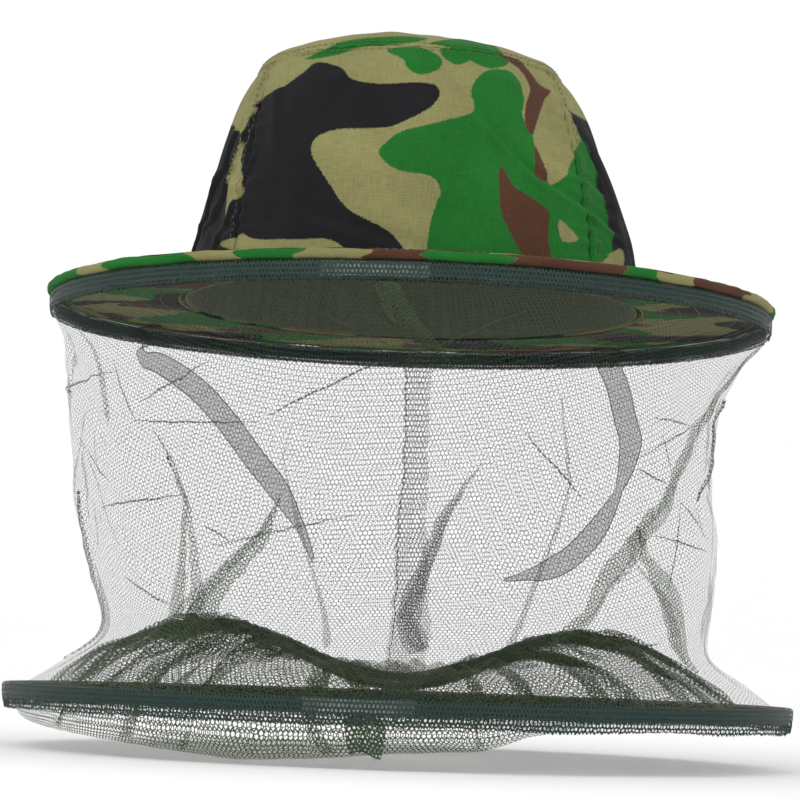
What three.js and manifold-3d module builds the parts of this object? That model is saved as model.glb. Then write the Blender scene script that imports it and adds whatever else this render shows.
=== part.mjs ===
// Camouflage sun hat with a drop-down insect net. Millimetres, +Z up.
// The origin is the centre of the head opening, on the underside of the brim.
// The front of the hat faces -Y and the wearer's left is +X.

import * as THREE from 'three';
import { mergeVertices } from 'three/addons/utils/BufferGeometryUtils.js';
import Module from 'manifold-3d';

const wasm = await Module();
wasm.setup();

// Hat
const BRIM_RADIUS = 170;
const HEAD_RADIUS = 110; // half the head opening's width, at the crown's outer face
const HEAD_STRETCH = 1.06; // the crown is longer from front to back than across
const TIP_SEAM_HEIGHT = 110;
const TIP_SEAM_RADIUS = 69;
const CROWN_HEIGHT = 128;
const CLOTH = 0.9;
const GAP = 0.3; // room left between pieces that are sewn or pressed together

// Brim layers, by the height of each underside
const UNDER_CLOTH_Z = 0.4;
const STIFFENER_Z = 1.4;
const STIFFENER = 1.2;
const TOP_CLOTH_Z = 2.8;
const BINDING_TOP_Z = 4.7;
const BINDING_BOTTOM_Z = -0.6;
const BINDING = 0.7;
const BINDING_LEG = 8;

// Hoops: flat plastic strip bent to a C, closed by a clear sleeve at the front
const STRIP_HEIGHT = 4.8;
const STRIP = 1.2;
const UPPER_HOOP_RADIUS = 167.6;
const UPPER_HOOP_Z = -6.9;
const LOWER_HOOP_RADIUS = 181;
const LOWER_HOOP_Z = -186.4;
const HOOP_GAP = 32;
const HOOP_GAP_OFFSET = 16; // the gap sits this far to the wearer's right of the front
const SLEEVE_GRIP = 7; // length of hoop end inside the sleeve
const POCKET = 0.95; // half the room left around a strip
const CHANNEL_HALF = 1.65;
const SLEEVE_HALF = 1.85;
const HEM = 0.7;

// Net
const NET = 0.8;
const SEAM_WIDTH = 15;
const NECK_RADIUS = 80;
const NECK_Z = -151;
const NECK_FRONT_DROP = 25; // the neck band hangs lower under the chin
const NECK_BACK_DROP = 22; // and between the shoulders
const NECK_FLAT_RADIUS = 150; // beyond this the collar no longer follows that drop
const CASING_RADIUS = 3;
const CASING_WALL = 0.8;
const ELASTIC_RADIUS = 1.7;

// Ties
const TIE_RADIUS = 1.6;
const TIE_STEPS = 26;
const PATCH = { width: 12, depth: 8, height: 1.6, z: -2.6 };

const RING_STEPS = 36;
const FRONT = -Math.PI / 2;
const CAMO = { color: 0x5f7a3a, roughness: 0.9, metalness: 0 };
const TEAL = { color: 0x1e4a48, roughness: 0.45, metalness: 0 };
const CLEAR = { color: 0xe6ecec, roughness: 0.12, metalness: 0 };
const NETTING = { color: 0x3a443a, roughness: 0.8, metalness: 0 };
const HEM_TAPE = { color: 0x24372f, roughness: 0.85, metalness: 0 };
const SHEER = { color: 0x3c3c3c, roughness: 0.7, metalness: 0 };
const LINING = { color: 0xcfcabb, roughness: 0.95, metalness: 0 };
const ELASTIC = { color: 0x202622, roughness: 0.6, metalness: 0 };

function mesh(name, geometry, finish) {
  const piece = new THREE.Mesh(geometry, new THREE.MeshStandardMaterial(finish));
  piece.name = name;
  return piece;
}

// ---- Shape helpers ----

function revolve(outline, steps = RING_STEPS) {
  return new THREE.LatheGeometry(outline, steps).rotateX(Math.PI / 2);
}

// Closed outline of a thin wall: along the curve, then back at one thickness to its left.
function wallOutline(points, thickness, steps) {
  const curve = new THREE.SplineCurve(points);
  const face = [];
  const back = [];
  for (let i = 0; i <= steps; i++) {
    const at = curve.getPoint(i / steps);
    const along = curve.getTangent(i / steps);
    face.push(at);
    back.unshift(new THREE.Vector2(at.x - along.y * thickness, at.y + along.x * thickness));
  }
  return [...face, ...back, face[0].clone()];
}

function warp(geometry, move) {
  const place = geometry.attributes.position;
  const point = new THREE.Vector3();
  for (let i = 0; i < place.count; i++) {
    move(point.fromBufferAttribute(place, i));
    place.setXYZ(i, point.x, point.y, point.z);
  }
  geometry.computeVertexNormals();
  return geometry;
}

function solidOf(geometry) {
  const bare = geometry.clone();
  bare.deleteAttribute('normal');
  bare.deleteAttribute('uv');
  const merged = mergeVertices(bare, 1e-4);
  return new wasm.Manifold(new wasm.Mesh({
    numProp: 3,
    vertProperties: new Float32Array(merged.attributes.position.array),
    triVerts: new Uint32Array(merged.index.array),
  }));
}

function geometryOf(solid) {
  const { vertProperties, triVerts } = solid.getMesh();
  const geometry = new THREE.BufferGeometry();
  geometry.setAttribute('position', new THREE.BufferAttribute(vertProperties, 3));
  geometry.setIndex(new THREE.BufferAttribute(triVerts, 1));
  geometry.computeVertexNormals();
  return geometry;
}

// Block bent round the Z axis, between two radii and two angles.
function arcBlock(inner, outer, from, to, bottom, height) {
  const outline = new THREE.Shape();
  outline.absarc(0, 0, outer, from, to, false);
  outline.absarc(0, 0, inner, to, from, true);
  const steps = Math.max(4, Math.round((to - from) / (2 * Math.PI) * RING_STEPS));
  const options = { depth: height, bevelEnabled: false, curveSegments: steps };
  return new THREE.ExtrudeGeometry(outline, options).translate(0, 0, bottom);
}

// ---- Crown ----

function stretchHead(point) {
  point.y *= HEAD_STRETCH;
}

// A quarter of the crown's wall. Its middle faces the given number of quarter turns from +X.
function crownPanel(quarterTurns) {
  const side = [
    new THREE.Vector2(HEAD_RADIUS, UNDER_CLOTH_Z),
    new THREE.Vector2(104, 22),
    new THREE.Vector2(91, 58),
    new THREE.Vector2(78.5, 93),
    new THREE.Vector2(TIP_SEAM_RADIUS, TIP_SEAM_HEIGHT),
  ];
  const wall = warp(revolve(wallOutline(side, CLOTH, 6)), stretchHead);
  const reach = 2 * HEAD_RADIUS;
  const apex = GAP / Math.SQRT2;
  const quarter = new THREE.Shape([
    new THREE.Vector2(apex, 0),
    new THREE.Vector2(apex + reach, -reach),
    new THREE.Vector2(apex + reach, reach),
  ]);
  const wedge = new THREE.ExtrudeGeometry(quarter, { depth: 2 * CROWN_HEIGHT, bevelEnabled: false });
  wedge.translate(0, 0, -CROWN_HEIGHT / 2).rotateZ(quarterTurns * Math.PI / 2);
  return geometryOf(solidOf(wall).intersect(solidOf(wedge)));
}

function crownTip() {
  const edge = TIP_SEAM_HEIGHT + 2 * GAP + CLOTH;
  const dome = [
    new THREE.Vector2(TIP_SEAM_RADIUS - 0.5, edge),
    new THREE.Vector2(61, 118.5),
    new THREE.Vector2(51, 123),
    new THREE.Vector2(30, 127),
    new THREE.Vector2(0, CROWN_HEIGHT),
  ];
  const face = new THREE.SplineCurve(dome).getPoints(5);
  const back = face.map((at) => new THREE.Vector2(at.x * (1 - CLOTH / TIP_SEAM_RADIUS), at.y - CLOTH));
  return warp(revolve([...back.reverse(), ...face]), stretchHead);
}

function sweatband() {
  const outline = [
    new THREE.Vector2(107.9, 0.6),
    new THREE.Vector2(103, 18),
    new THREE.Vector2(99, 30),
  ];
  return warp(revolve(wallOutline(outline, CLOTH, 2)), stretchHead);
}

// ---- Brim ----

function brimLayer(outer, bottom, thickness) {
  const inner = HEAD_RADIUS + 1.5;
  const outline = new THREE.Shape();
  outline.absarc(0, 0, outer, 0, 2 * Math.PI, false);
  const opening = new THREE.Path();
  opening.absellipse(0, 0, inner, inner * HEAD_STRETCH, 0, 2 * Math.PI, true);
  outline.holes.push(opening);
  const options = { depth: thickness, bevelEnabled: false, curveSegments: RING_STEPS / 2 };
  return new THREE.ExtrudeGeometry(outline, options).translate(0, 0, bottom);
}

function brimEdgeBinding() {
  const leg = BRIM_RADIUS - BINDING_LEG;
  const wall = BRIM_RADIUS - BINDING;
  return revolve([
    new THREE.Vector2(leg, BINDING_BOTTOM_Z),
    new THREE.Vector2(BRIM_RADIUS, BINDING_BOTTOM_Z),
    new THREE.Vector2(BRIM_RADIUS, BINDING_TOP_Z),
    new THREE.Vector2(leg, BINDING_TOP_Z),
    new THREE.Vector2(leg, BINDING_TOP_Z - BINDING),
    new THREE.Vector2(wall, BINDING_TOP_Z - BINDING),
    new THREE.Vector2(wall, BINDING_BOTTOM_Z + BINDING),
    new THREE.Vector2(leg, BINDING_BOTTOM_Z + BINDING),
    new THREE.Vector2(leg, BINDING_BOTTOM_Z),
  ]);
}

// ---- Hoops ----

function gapCentre(radius) {
  return FRONT - Math.asin(HOOP_GAP_OFFSET / radius);
}

// The angles between which a ring is whole, when its opening at the front is this wide.
function openRing(radius, opening) {
  const half = opening / radius / 2;
  return [gapCentre(radius) + half, gapCentre(radius) + 2 * Math.PI - half];
}

function hoop(radius, bottom) {
  const [from, to] = openRing(radius, HOOP_GAP);
  return arcBlock(radius - STRIP / 2, radius + STRIP / 2, from, to, bottom, STRIP_HEIGHT);
}

function hoopConnector(radius, bottom) {
  const half = (HOOP_GAP / 2 + SLEEVE_GRIP) / radius;
  const [from, to] = [gapCentre(radius) - half, gapCentre(radius) + half];
  const floor = bottom - GAP - HEM;
  const height = STRIP_HEIGHT + 2 * (GAP + HEM);
  const body = arcBlock(radius - SLEEVE_HALF, radius + SLEEVE_HALF, from, to, floor, height);
  const room = STRIP_HEIGHT + 2 * GAP;
  const bore = arcBlock(radius - POCKET, radius + POCKET, from - half, to + half, bottom - GAP, room);
  return geometryOf(solidOf(body).subtract(solidOf(bore)));
}

// Folded hem of the net: a trough that holds the strip, open along its top.
function netChannel(radius, bottom) {
  const [from, to] = openRing(radius, HOOP_GAP + 2 * (SLEEVE_GRIP + 1));
  const floor = bottom - GAP - HEM;
  const height = STRIP_HEIGHT + GAP + HEM + 0.5;
  const body = arcBlock(radius - CHANNEL_HALF, radius + CHANNEL_HALF, from, to, floor, height);
  const slot = arcBlock(radius - POCKET, radius + POCKET, from - 0.1, to + 0.1, bottom - GAP, 2 * height);
  return geometryOf(solidOf(body).subtract(solidOf(slot)));
}

// ---- Net ----

// From the upper hem the net falls inwards, lies against the shoulders and runs out to the lower hoop.
const VEIL_LINE = [
  new THREE.Vector2(178.2, -182.5),
  new THREE.Vector2(157, -170.5),
  new THREE.Vector2(145, -157),
  new THREE.Vector2(145.5, -135),
  new THREE.Vector2(153, -90),
  new THREE.Vector2(159, -45),
  new THREE.Vector2(167.6, -9.4),
];

function veilNet() {
  return revolve(wallOutline(VEIL_LINE, NET, 9));
}

// The strip lies inside the net, flat across the front.
function veilSeamStrip() {
  const inside = VEIL_LINE.map((at) => new THREE.Vector2(at.x - NET - 2.2, at.y));
  const outline = new THREE.Shape(wallOutline(inside.slice(2), NET, 7));
  const strip = new THREE.ExtrudeGeometry(outline, { depth: SEAM_WIDTH, bevelEnabled: false });
  // outline x becomes -Y, outline y becomes +Z, depth becomes X
  const toFront = new THREE.Matrix4().makeBasis(
    new THREE.Vector3(0, -1, 0),
    new THREE.Vector3(0, 0, 1),
    new THREE.Vector3(-1, 0, 0),
  );
  return strip.applyMatrix4(toFront).translate(SEAM_WIDTH / 2 + 3, 0, 0);
}

function dropNeck(point) {
  const radius = Math.hypot(point.x, point.y);
  const drop = point.y < 0 ? NECK_FRONT_DROP : NECK_BACK_DROP;
  const facing = (point.y / radius) ** 4;
  const near = 1 - THREE.MathUtils.smoothstep(radius, NECK_RADIUS, NECK_FLAT_RADIUS);
  point.z -= drop * facing * near;
}

function collarNet() {
  const outline = [
    new THREE.Vector2(NECK_RADIUS + CASING_RADIUS + 1.2, NECK_Z),
    new THREE.Vector2(100, -152.5),
    new THREE.Vector2(118, -158.5),
    new THREE.Vector2(139, -172),
    new THREE.Vector2(157, -189),
    new THREE.Vector2(169, -198.5),
    new THREE.Vector2(176.5, -194),
    new THREE.Vector2(178, -185.5),
  ];
  return warp(revolve(wallOutline(outline.reverse(), NET, 9)), dropNeck);
}

function circleOutline(radius, from, to, steps) {
  const outline = [];
  for (let i = 0; i <= steps; i++) {
    const turn = from + (to - from) * i / steps;
    outline.push(new THREE.Vector2(NECK_RADIUS + radius * Math.cos(turn), NECK_Z + radius * Math.sin(turn)));
  }
  return outline;
}

// Hem tube of the collar, open along its underside where the elastic is threaded in.
function neckCasing() {
  const mouth = Math.PI / 6;
  const from = FRONT + mouth;
  const to = FRONT + 2 * Math.PI - mouth;
  const outside = circleOutline(CASING_RADIUS, from, to, 5);
  const inside = circleOutline(CASING_RADIUS - CASING_WALL, to, from, 5);
  return warp(revolve([...outside, ...inside, outside[0].clone()]), dropNeck);
}

function neckElastic() {
  const outline = circleOutline(ELASTIC_RADIUS, 0, 2 * Math.PI, 6);
  outline[6].copy(outline[0]);
  return warp(revolve(outline), dropNeck);
}

// ---- Ties ----

const RIGHT_TIE_ROUTE = [
  [-130, 94, -3.7],
  [-130.6, 93.2, -8],
  [-134.5, 85, -13],
  [-133, 80, -18.5],
  [-123.8, 84.7, -20.9],
  [-107.1, 98, -31.2],
  [-92.1, 109, -46.1],
  [-77.4, 115, -64.6],
  [-64.2, 119, -80.3],
  [-52.2, 119, -99.5],
  [-44.9, 117, -115.8],
];

const LEFT_TIE_ROUTE = [
  [102.6, 123.4, -3.7],
  [103, 122.4, -8.5],
  [107.4, 110.4, -21.5],
  [111.4, 101.9, -39.9],
  [113.6, 95.5, -53],
  [108.3, 96.5, -75.7],
  [98.3, 101, -95.1],
  [86.4, 105, -109],
  [75.2, 108, -115.9],
  [64.2, 111, -119.3],
  [52.6, 113, -122.2],
];

function tie(route) {
  const section = new THREE.Shape();
  section.absarc(0, 0, TIE_RADIUS, 0, 2 * Math.PI, false);
  const extrudePath = new THREE.CatmullRomCurve3(route.map((at) => new THREE.Vector3(...at)));
  return new THREE.ExtrudeGeometry(section, { steps: TIE_STEPS, curveSegments: 4, extrudePath });
}

// Sewn patch under the brim, above the first point of a tie.
function tieAnchor(name, route) {
  const [x, y] = route[0];
  const patch = mesh(name, new THREE.BoxGeometry(PATCH.depth, PATCH.width, PATCH.height), HEM_TAPE);
  patch.position.set(x, y, PATCH.z + PATCH.height / 2);
  patch.rotation.z = Math.atan2(y, x);
  return patch;
}

// ---- Assembly ----

const hat = new THREE.Group();
['left', 'back', 'right', 'front'].forEach((side, turns) => {
  hat.add(mesh(`crown_${side}_panel`, crownPanel(turns), CAMO));
});
hat.add(mesh('crown_tip', crownTip(), CAMO));
hat.add(mesh('sweatband', sweatband(), LINING));
hat.add(mesh('brim_top_cloth', brimLayer(BRIM_RADIUS - 1.3, TOP_CLOTH_Z, CLOTH), CAMO));
hat.add(mesh('brim_stiffener', brimLayer(BRIM_RADIUS - 3, STIFFENER_Z, STIFFENER), LINING));
hat.add(mesh('brim_under_cloth', brimLayer(BRIM_RADIUS - 1.3, UNDER_CLOTH_Z, CLOTH - 0.1), CAMO));
hat.add(mesh('brim_edge_binding', brimEdgeBinding(), CAMO));
hat.add(mesh('upper_hoop', hoop(UPPER_HOOP_RADIUS, UPPER_HOOP_Z), TEAL));
hat.add(mesh('upper_hoop_connector', hoopConnector(UPPER_HOOP_RADIUS, UPPER_HOOP_Z), CLEAR));
hat.add(mesh('upper_net_channel', netChannel(UPPER_HOOP_RADIUS, UPPER_HOOP_Z), HEM_TAPE));
hat.add(mesh('veil_net', veilNet(), NETTING));
hat.add(mesh('veil_seam_strip', veilSeamStrip(), NETTING));
hat.add(tieAnchor('tie_anchor_right', RIGHT_TIE_ROUTE));
hat.add(tieAnchor('tie_anchor_left', LEFT_TIE_ROUTE));
hat.add(mesh('tie_right', tie(RIGHT_TIE_ROUTE), SHEER));
hat.add(mesh('tie_left', tie(LEFT_TIE_ROUTE), SHEER));

const lowerRing = new THREE.Group();
lowerRing.add(mesh('lower_hoop', hoop(LOWER_HOOP_RADIUS, LOWER_HOOP_Z), TEAL));
lowerRing.add(mesh('lower_hoop_connector', hoopConnector(LOWER_HOOP_RADIUS, LOWER_HOOP_Z), CLEAR));
lowerRing.add(mesh('lower_net_channel', netChannel(LOWER_HOOP_RADIUS, LOWER_HOOP_Z), HEM_TAPE));
lowerRing.add(mesh('collar_net', collarNet(), NETTING));

const neckBand = new THREE.Group();
neckBand.add(mesh('neck_casing', neckCasing(), HEM_TAPE));
neckBand.add(mesh('neck_elastic', neckElastic(), ELASTIC));

const netHat = new THREE.Group();
netHat.add(hat, lowerRing, neckBand);

export default netHat;
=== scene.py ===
# %% [markdown]
# # A sun hat with a drop-down insect net
# The hat is cotton in a woodland print. A net hangs from its brim, two plastic hoops hold the net away
# from the face, and the net's lower end is gathered round the neck.
# The rigid frame comes first. It says where each piece lies and which pieces move together.

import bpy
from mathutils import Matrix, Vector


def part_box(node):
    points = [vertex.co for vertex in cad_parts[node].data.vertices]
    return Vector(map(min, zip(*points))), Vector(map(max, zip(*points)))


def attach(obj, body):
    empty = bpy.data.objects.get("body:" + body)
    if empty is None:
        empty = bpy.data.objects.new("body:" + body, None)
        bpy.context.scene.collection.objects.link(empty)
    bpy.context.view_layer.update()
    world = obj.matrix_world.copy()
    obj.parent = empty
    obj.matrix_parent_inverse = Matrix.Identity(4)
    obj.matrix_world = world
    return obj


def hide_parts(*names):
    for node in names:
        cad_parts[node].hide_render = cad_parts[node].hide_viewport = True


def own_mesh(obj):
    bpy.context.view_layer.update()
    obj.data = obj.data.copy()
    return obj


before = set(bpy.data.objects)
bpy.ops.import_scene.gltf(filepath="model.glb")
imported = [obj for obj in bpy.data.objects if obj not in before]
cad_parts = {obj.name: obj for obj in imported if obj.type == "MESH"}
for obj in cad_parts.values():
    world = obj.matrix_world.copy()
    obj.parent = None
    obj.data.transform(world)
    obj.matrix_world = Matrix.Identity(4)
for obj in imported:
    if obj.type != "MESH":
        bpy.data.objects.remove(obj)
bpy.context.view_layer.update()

# %% [markdown]
# Millimetres are easier to think in for a hat, so lengths are given as so many `MM`.
# The main rings are read from the frame: the brim's edge, the two hoops and the plane of each.

# %% Units and main places
import math

import bpy
import numpy as np
from mathutils import Matrix, Vector
from bpy_extras.object_utils import world_to_camera_view

MM = 0.001
TURN = 2 * math.pi
FRONT = -math.pi / 2

brim_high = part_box("brim_edge_binding")[1]
upper_low, upper_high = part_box("upper_hoop")
lower_low, lower_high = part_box("lower_hoop")
BRIM_RADIUS = brim_high.x
UPPER_RADIUS = upper_high.x
LOWER_RADIUS = lower_high.x
UPPER_Z = (upper_low.z + upper_high.z) / 2
LOWER_Z = (lower_low.z + lower_high.z) / 2
print("brim", BRIM_RADIUS, "hoops", UPPER_RADIUS, LOWER_RADIUS, "drop", round(UPPER_Z - LOWER_Z, 4))

# %% [markdown]
# ## The camera
# A hat is best seen from a little below the brim, where the net and the brim's underside both show.
# A long lens keeps the two hoops nearly straight. The camera leans by two degrees, because the hat does.

# %% Camera
EYE = Vector((-0.0015, -1.287, -0.1654))
LENS_MM = 123.3
LOOK_UP = math.radians(5.45)
LOOK_ASIDE = math.radians(0.095)
LEAN = math.radians(2.0)

camera_data = bpy.data.cameras.new("Camera")
camera_data.lens = LENS_MM
camera_data.sensor_width = 36
camera = bpy.data.objects.new("Camera", camera_data)
bpy.context.scene.collection.objects.link(camera)
camera.location = EYE
aim = Matrix.Rotation(LOOK_ASIDE, 4, "Z") @ Matrix.Rotation(math.pi / 2 + LOOK_UP, 4, "X")
camera.matrix_world = Matrix.Translation(EYE) @ aim @ Matrix.Rotation(LEAN, 4, "Z")
bpy.context.scene.camera = camera
bpy.context.view_layer.update()


def on_picture(point):
    """Where a point falls on an 800 by 800 picture."""
    seen = world_to_camera_view(bpy.context.scene, camera, Vector(point))
    return round(seen.x * 800), round((1 - seen.y) * 800)


for name, radius, z in (("brim", BRIM_RADIUS, 0), ("lower hoop", LOWER_RADIUS, LOWER_Z)):
    side = [on_picture((sign * radius * 0.991, -radius * 0.13, z)) for sign in (-1, 1)]
    print(name, "left, right, front, back:", side, on_picture((0, -radius, z)), on_picture((0, radius, z)))
print("crown top", on_picture((0, 0, 0.128)))

# %% [markdown]
# ## Helpers for cloth
# Nearly every cloth piece here is a grid: rows run down the cloth and columns run along it. Each corner keeps
# its place on the flat cloth, in metres, so that threads and mesh keep their real size wherever it is folded.

# %% Grid of cloth


def smooth_piece(name, points, faces):
    mesh = bpy.data.meshes.new(name)
    mesh.from_pydata(points, [], faces)
    mesh.polygons.foreach_set("use_smooth", np.ones(len(faces), bool))
    mesh.update()
    piece = bpy.data.objects.new(name, mesh)
    bpy.context.scene.collection.objects.link(piece)
    return piece


def cloth_mesh(name, points, faces, corners):
    """A smooth piece. corners holds, for each corner of each face, its place on the cloth in metres."""
    piece = smooth_piece(name, points.reshape(-1, 3).tolist(), faces.tolist())
    layer = piece.data.uv_layers.new(name="Flat")
    layer.data.foreach_set("uv", corners.reshape(-1).astype(np.float32))
    return piece


def cloth_grid(name, points, flat, closed=False):
    """A mesh from rows x columns of points. flat holds each point's place on the cloth, in metres, and has
    one more column than points when the grid closes on itself."""
    rows, columns = points.shape[:2]
    across = columns if closed else columns - 1
    row, column = np.meshgrid(np.arange(rows - 1), np.arange(across), indexing="ij")
    after = (column + 1) % columns
    faces = np.stack([row * columns + column, row * columns + after,
                      (row + 1) * columns + after, (row + 1) * columns + column], -1).reshape(-1, 4)
    corners = np.stack([flat[row, column], flat[row, column + 1],
                        flat[row + 1, column + 1], flat[row + 1, column]], -2)
    return cloth_mesh(name, points, faces, corners)


def cloth_bands(name, points, flat):
    """One mesh of several strips of equal count: strips x rows x columns of points, and their flat places."""
    strips, rows, columns = points.shape[:3]
    row, column = np.meshgrid(np.arange(rows - 1), np.arange(columns - 1), indexing="ij")
    corner = (row * columns + column).reshape(-1)
    strip = np.stack([corner, corner + 1, corner + columns + 1, corner + columns], -1)
    faces = (np.arange(strips)[:, None, None] * rows * columns + strip).reshape(-1, 4)
    return cloth_mesh(name, points, faces, flat.reshape(-1, 2)[faces])


def flat_places(rows, columns, height, length, closed=False):
    """Places on a plain rectangle of cloth."""
    count = columns + 1 if closed else columns
    along, down = np.meshgrid(np.linspace(0, length, count), np.linspace(0, height, rows))
    return np.stack([along, down], -1)


def cloth_ring(name, points, height, length):
    """A grid that closes on itself, from a plain rectangle of cloth."""
    return cloth_grid(name, points, flat_places(*points.shape[:2], height, length, closed=True), closed=True)


def thicken(piece, thickness, offset=-1.0):
    solid = piece.modifiers.new("Thickness", "SOLIDIFY")
    solid.thickness = thickness
    solid.offset = offset
    return piece


def fit(piece, material, body, slot, *nodes):
    """Gives a piece its finish, its body and the frame nodes that it stands for. slot is not used."""
    piece.data.materials.append(material)
    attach(piece, body)
    if nodes:
        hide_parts(*nodes)
    print(piece.name, len(piece.data.polygons), "faces on", body)
    return piece


# %% [markdown]
# A hat is made of rings, so the same three sums come back again and again: the angles and shares of a grid
# that runs round, the points at a radius and an angle, and how far one angle lies past another.

# %% Rings


def ring_places(columns, rows, low=0.0, high=1.0):
    """Angles round a ring and shares across it, for each point of a grid."""
    return np.meshgrid(np.linspace(0, TURN, columns, endpoint=False), np.linspace(low, high, rows))


def around(radius, angle, z, stretch=1.0, aside=0.0):
    """Points at a radius and an angle. stretch lengthens the ring from front to back."""
    return np.stack([radius * np.cos(angle) + aside, radius * np.sin(angle) * stretch, z], -1)


def angle_past(angle, other):
    """How far one angle lies past another, at most half a turn either way."""
    return (angle - other + math.pi) % TURN - math.pi


# %% [markdown]
# Cloth is never quite even. `drift` is a smooth random field, used for soft dents, for the wander of folds
# and for the printed patches away from the front. It is seeded, so each run gives the same hat.

# %% Smooth random field
LATTICE = 64


def drift(u, v, size, seed):
    """Gradient noise between about -1 and 1, with features of the given size. It repeats every 64 cells."""
    turn = np.random.default_rng(seed).uniform(0, TURN, (LATTICE, LATTICE))
    x, y = np.asarray(u, float) / size, np.asarray(v, float) / size
    x0, y0 = np.floor(x).astype(int), np.floor(y).astype(int)
    fx, fy = x - x0, y - y0
    ease_x, ease_y = (f ** 3 * (f * (f * 6 - 15) + 10) for f in (fx, fy))

    def corner(i, j):
        angle = turn[(x0 + i) % LATTICE, (y0 + j) % LATTICE]
        return np.cos(angle) * (fx - i) + np.sin(angle) * (fy - j)

    low = corner(0, 0) * (1 - ease_x) + corner(1, 0) * ease_x
    high = corner(0, 1) * (1 - ease_x) + corner(1, 1) * ease_x
    return 1.5 * (low * (1 - ease_y) + high * ease_y)


def smooth(low, high, value):
    share = np.clip((value - low) / (high - low), 0, 1)
    return share * share * (3 - 2 * share)


def spline(knots, share):
    """Points on a smooth curve through the knots, at shares from 0 to 1 of its steps."""
    knots = np.asarray(knots, float)
    place = np.clip(np.asarray(share, float), 0, 1) * (len(knots) - 1)
    i = np.minimum(place.astype(int), len(knots) - 2)
    f = (place - i)[..., None]
    before, after = np.maximum(i - 1, 0), np.minimum(i + 2, len(knots) - 1)
    a, b, c, d = knots[before], knots[i], knots[i + 1], knots[after]
    square, cube = 2 * a - 5 * b + 4 * c - d, 3 * b - a - 3 * c + d
    return 0.5 * (2 * b + (c - a) * f + square * f ** 2 + cube * f ** 3)


# %% [markdown]
# ## Helpers for finishes
# A finish is a small network of shader nodes. Nearly all of them colour the cloth between two shades and
# raise its texture a little, so helpers do that and keep the networks short.

# %% Shader helpers


def finish(name, roughness):
    material = bpy.data.materials.new(name)
    material.use_nodes = True
    shader = material.node_tree.nodes["Principled BSDF"]
    shader.inputs["Roughness"].default_value = roughness
    return material, material.node_tree, shader


def node(tree, kind, inputs=(), **settings):
    """A node of that kind. inputs maps a socket's name or number to a value, or to another node's output."""
    made = tree.nodes.new(kind)
    for key, value in settings.items():
        setattr(made, key, value)
    for key, value in dict(inputs).items():
        if isinstance(value, bpy.types.NodeSocket):
            tree.links.new(value, made.inputs[key])
        else:
            made.inputs[key].default_value = value
    return made


def calc(tree, operation, *values):
    return node(tree, "ShaderNodeMath", dict(enumerate(values)), operation=operation).outputs[0]


def vector_calc(tree, operation, *values):
    made = node(tree, "ShaderNodeVectorMath", dict(enumerate(values)), operation=operation)
    return made.outputs["Value" if operation in ("DOT_PRODUCT", "LENGTH") else "Vector"]


def mix_colour(tree, share, first, second):
    made = tree.nodes.new("ShaderNodeMix")
    made.data_type = "RGBA"
    for key, value in ((0, share), (6, first), (7, second)):
        if isinstance(value, bpy.types.NodeSocket):
            tree.links.new(value, made.inputs[key])
        else:
            made.inputs[key].default_value = value
    return made.outputs[2]


def stretched_noise(tree, along, across, detail=2.0):
    """Noise in the flat cloth's own coordinates, with so many features to the metre each way."""
    flat = node(tree, "ShaderNodeUVMap", uv_map="Flat").outputs[0]
    scaled = vector_calc(tree, "MULTIPLY", flat, (along, across, 1.0))
    return node(tree, "ShaderNodeTexNoise", {"Vector": scaled, "Scale": 1.0, "Detail": detail}).outputs[0]


def remap(tree, value, to_low, to_high, from_low=0.0, from_high=1.0):
    ends = {"From Min": from_low, "From Max": from_high, "To Min": to_low, "To Max": to_high}
    return node(tree, "ShaderNodeMapRange", {"Value": value, **ends}).outputs[0]


def dye(tree, shader, share, tint, dark, light=1.0):
    """Colours a finish between a darker and a lighter shade of its tint."""
    shades = [tuple(c * level for c in tint) + (1,) for level in (dark, light)]
    tree.links.new(mix_colour(tree, share, *shades), shader.inputs["Base Color"])


def emboss(tree, shader, height, strength, distance):
    """Raises a texture on a finish. distance is in metres."""
    bump = node(tree, "ShaderNodeBump", {"Height": height, "Strength": strength, "Distance": distance})
    tree.links.new(bump.outputs[0], shader.inputs["Normal"])


# %% [markdown]
# ## The printed cotton
# A woodland print is laid in four inks: a tan ground, then green, brown and black patches with crisp edges.
# Each patch is kept as a distance field on the cloth: below zero is inside the patch. The shader only
# asks for the sign, so the edge stays sharp however coarse the mesh is.

# %% Printed cotton
TAN = (0.285, 0.272, 0.112, 1)
GREEN = (0.016, 0.165, 0.024, 1)
BROWN = (0.098, 0.042, 0.024, 1)
BLACK = (0.014, 0.014, 0.016, 1)
INKS = ("green", "brown", "black", "tan")
PRINT_EDGE = 0.0003


# shade scales the ground and every ink. A value below 1 gives a darker copy of the print, which is painted
# shade.
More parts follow.
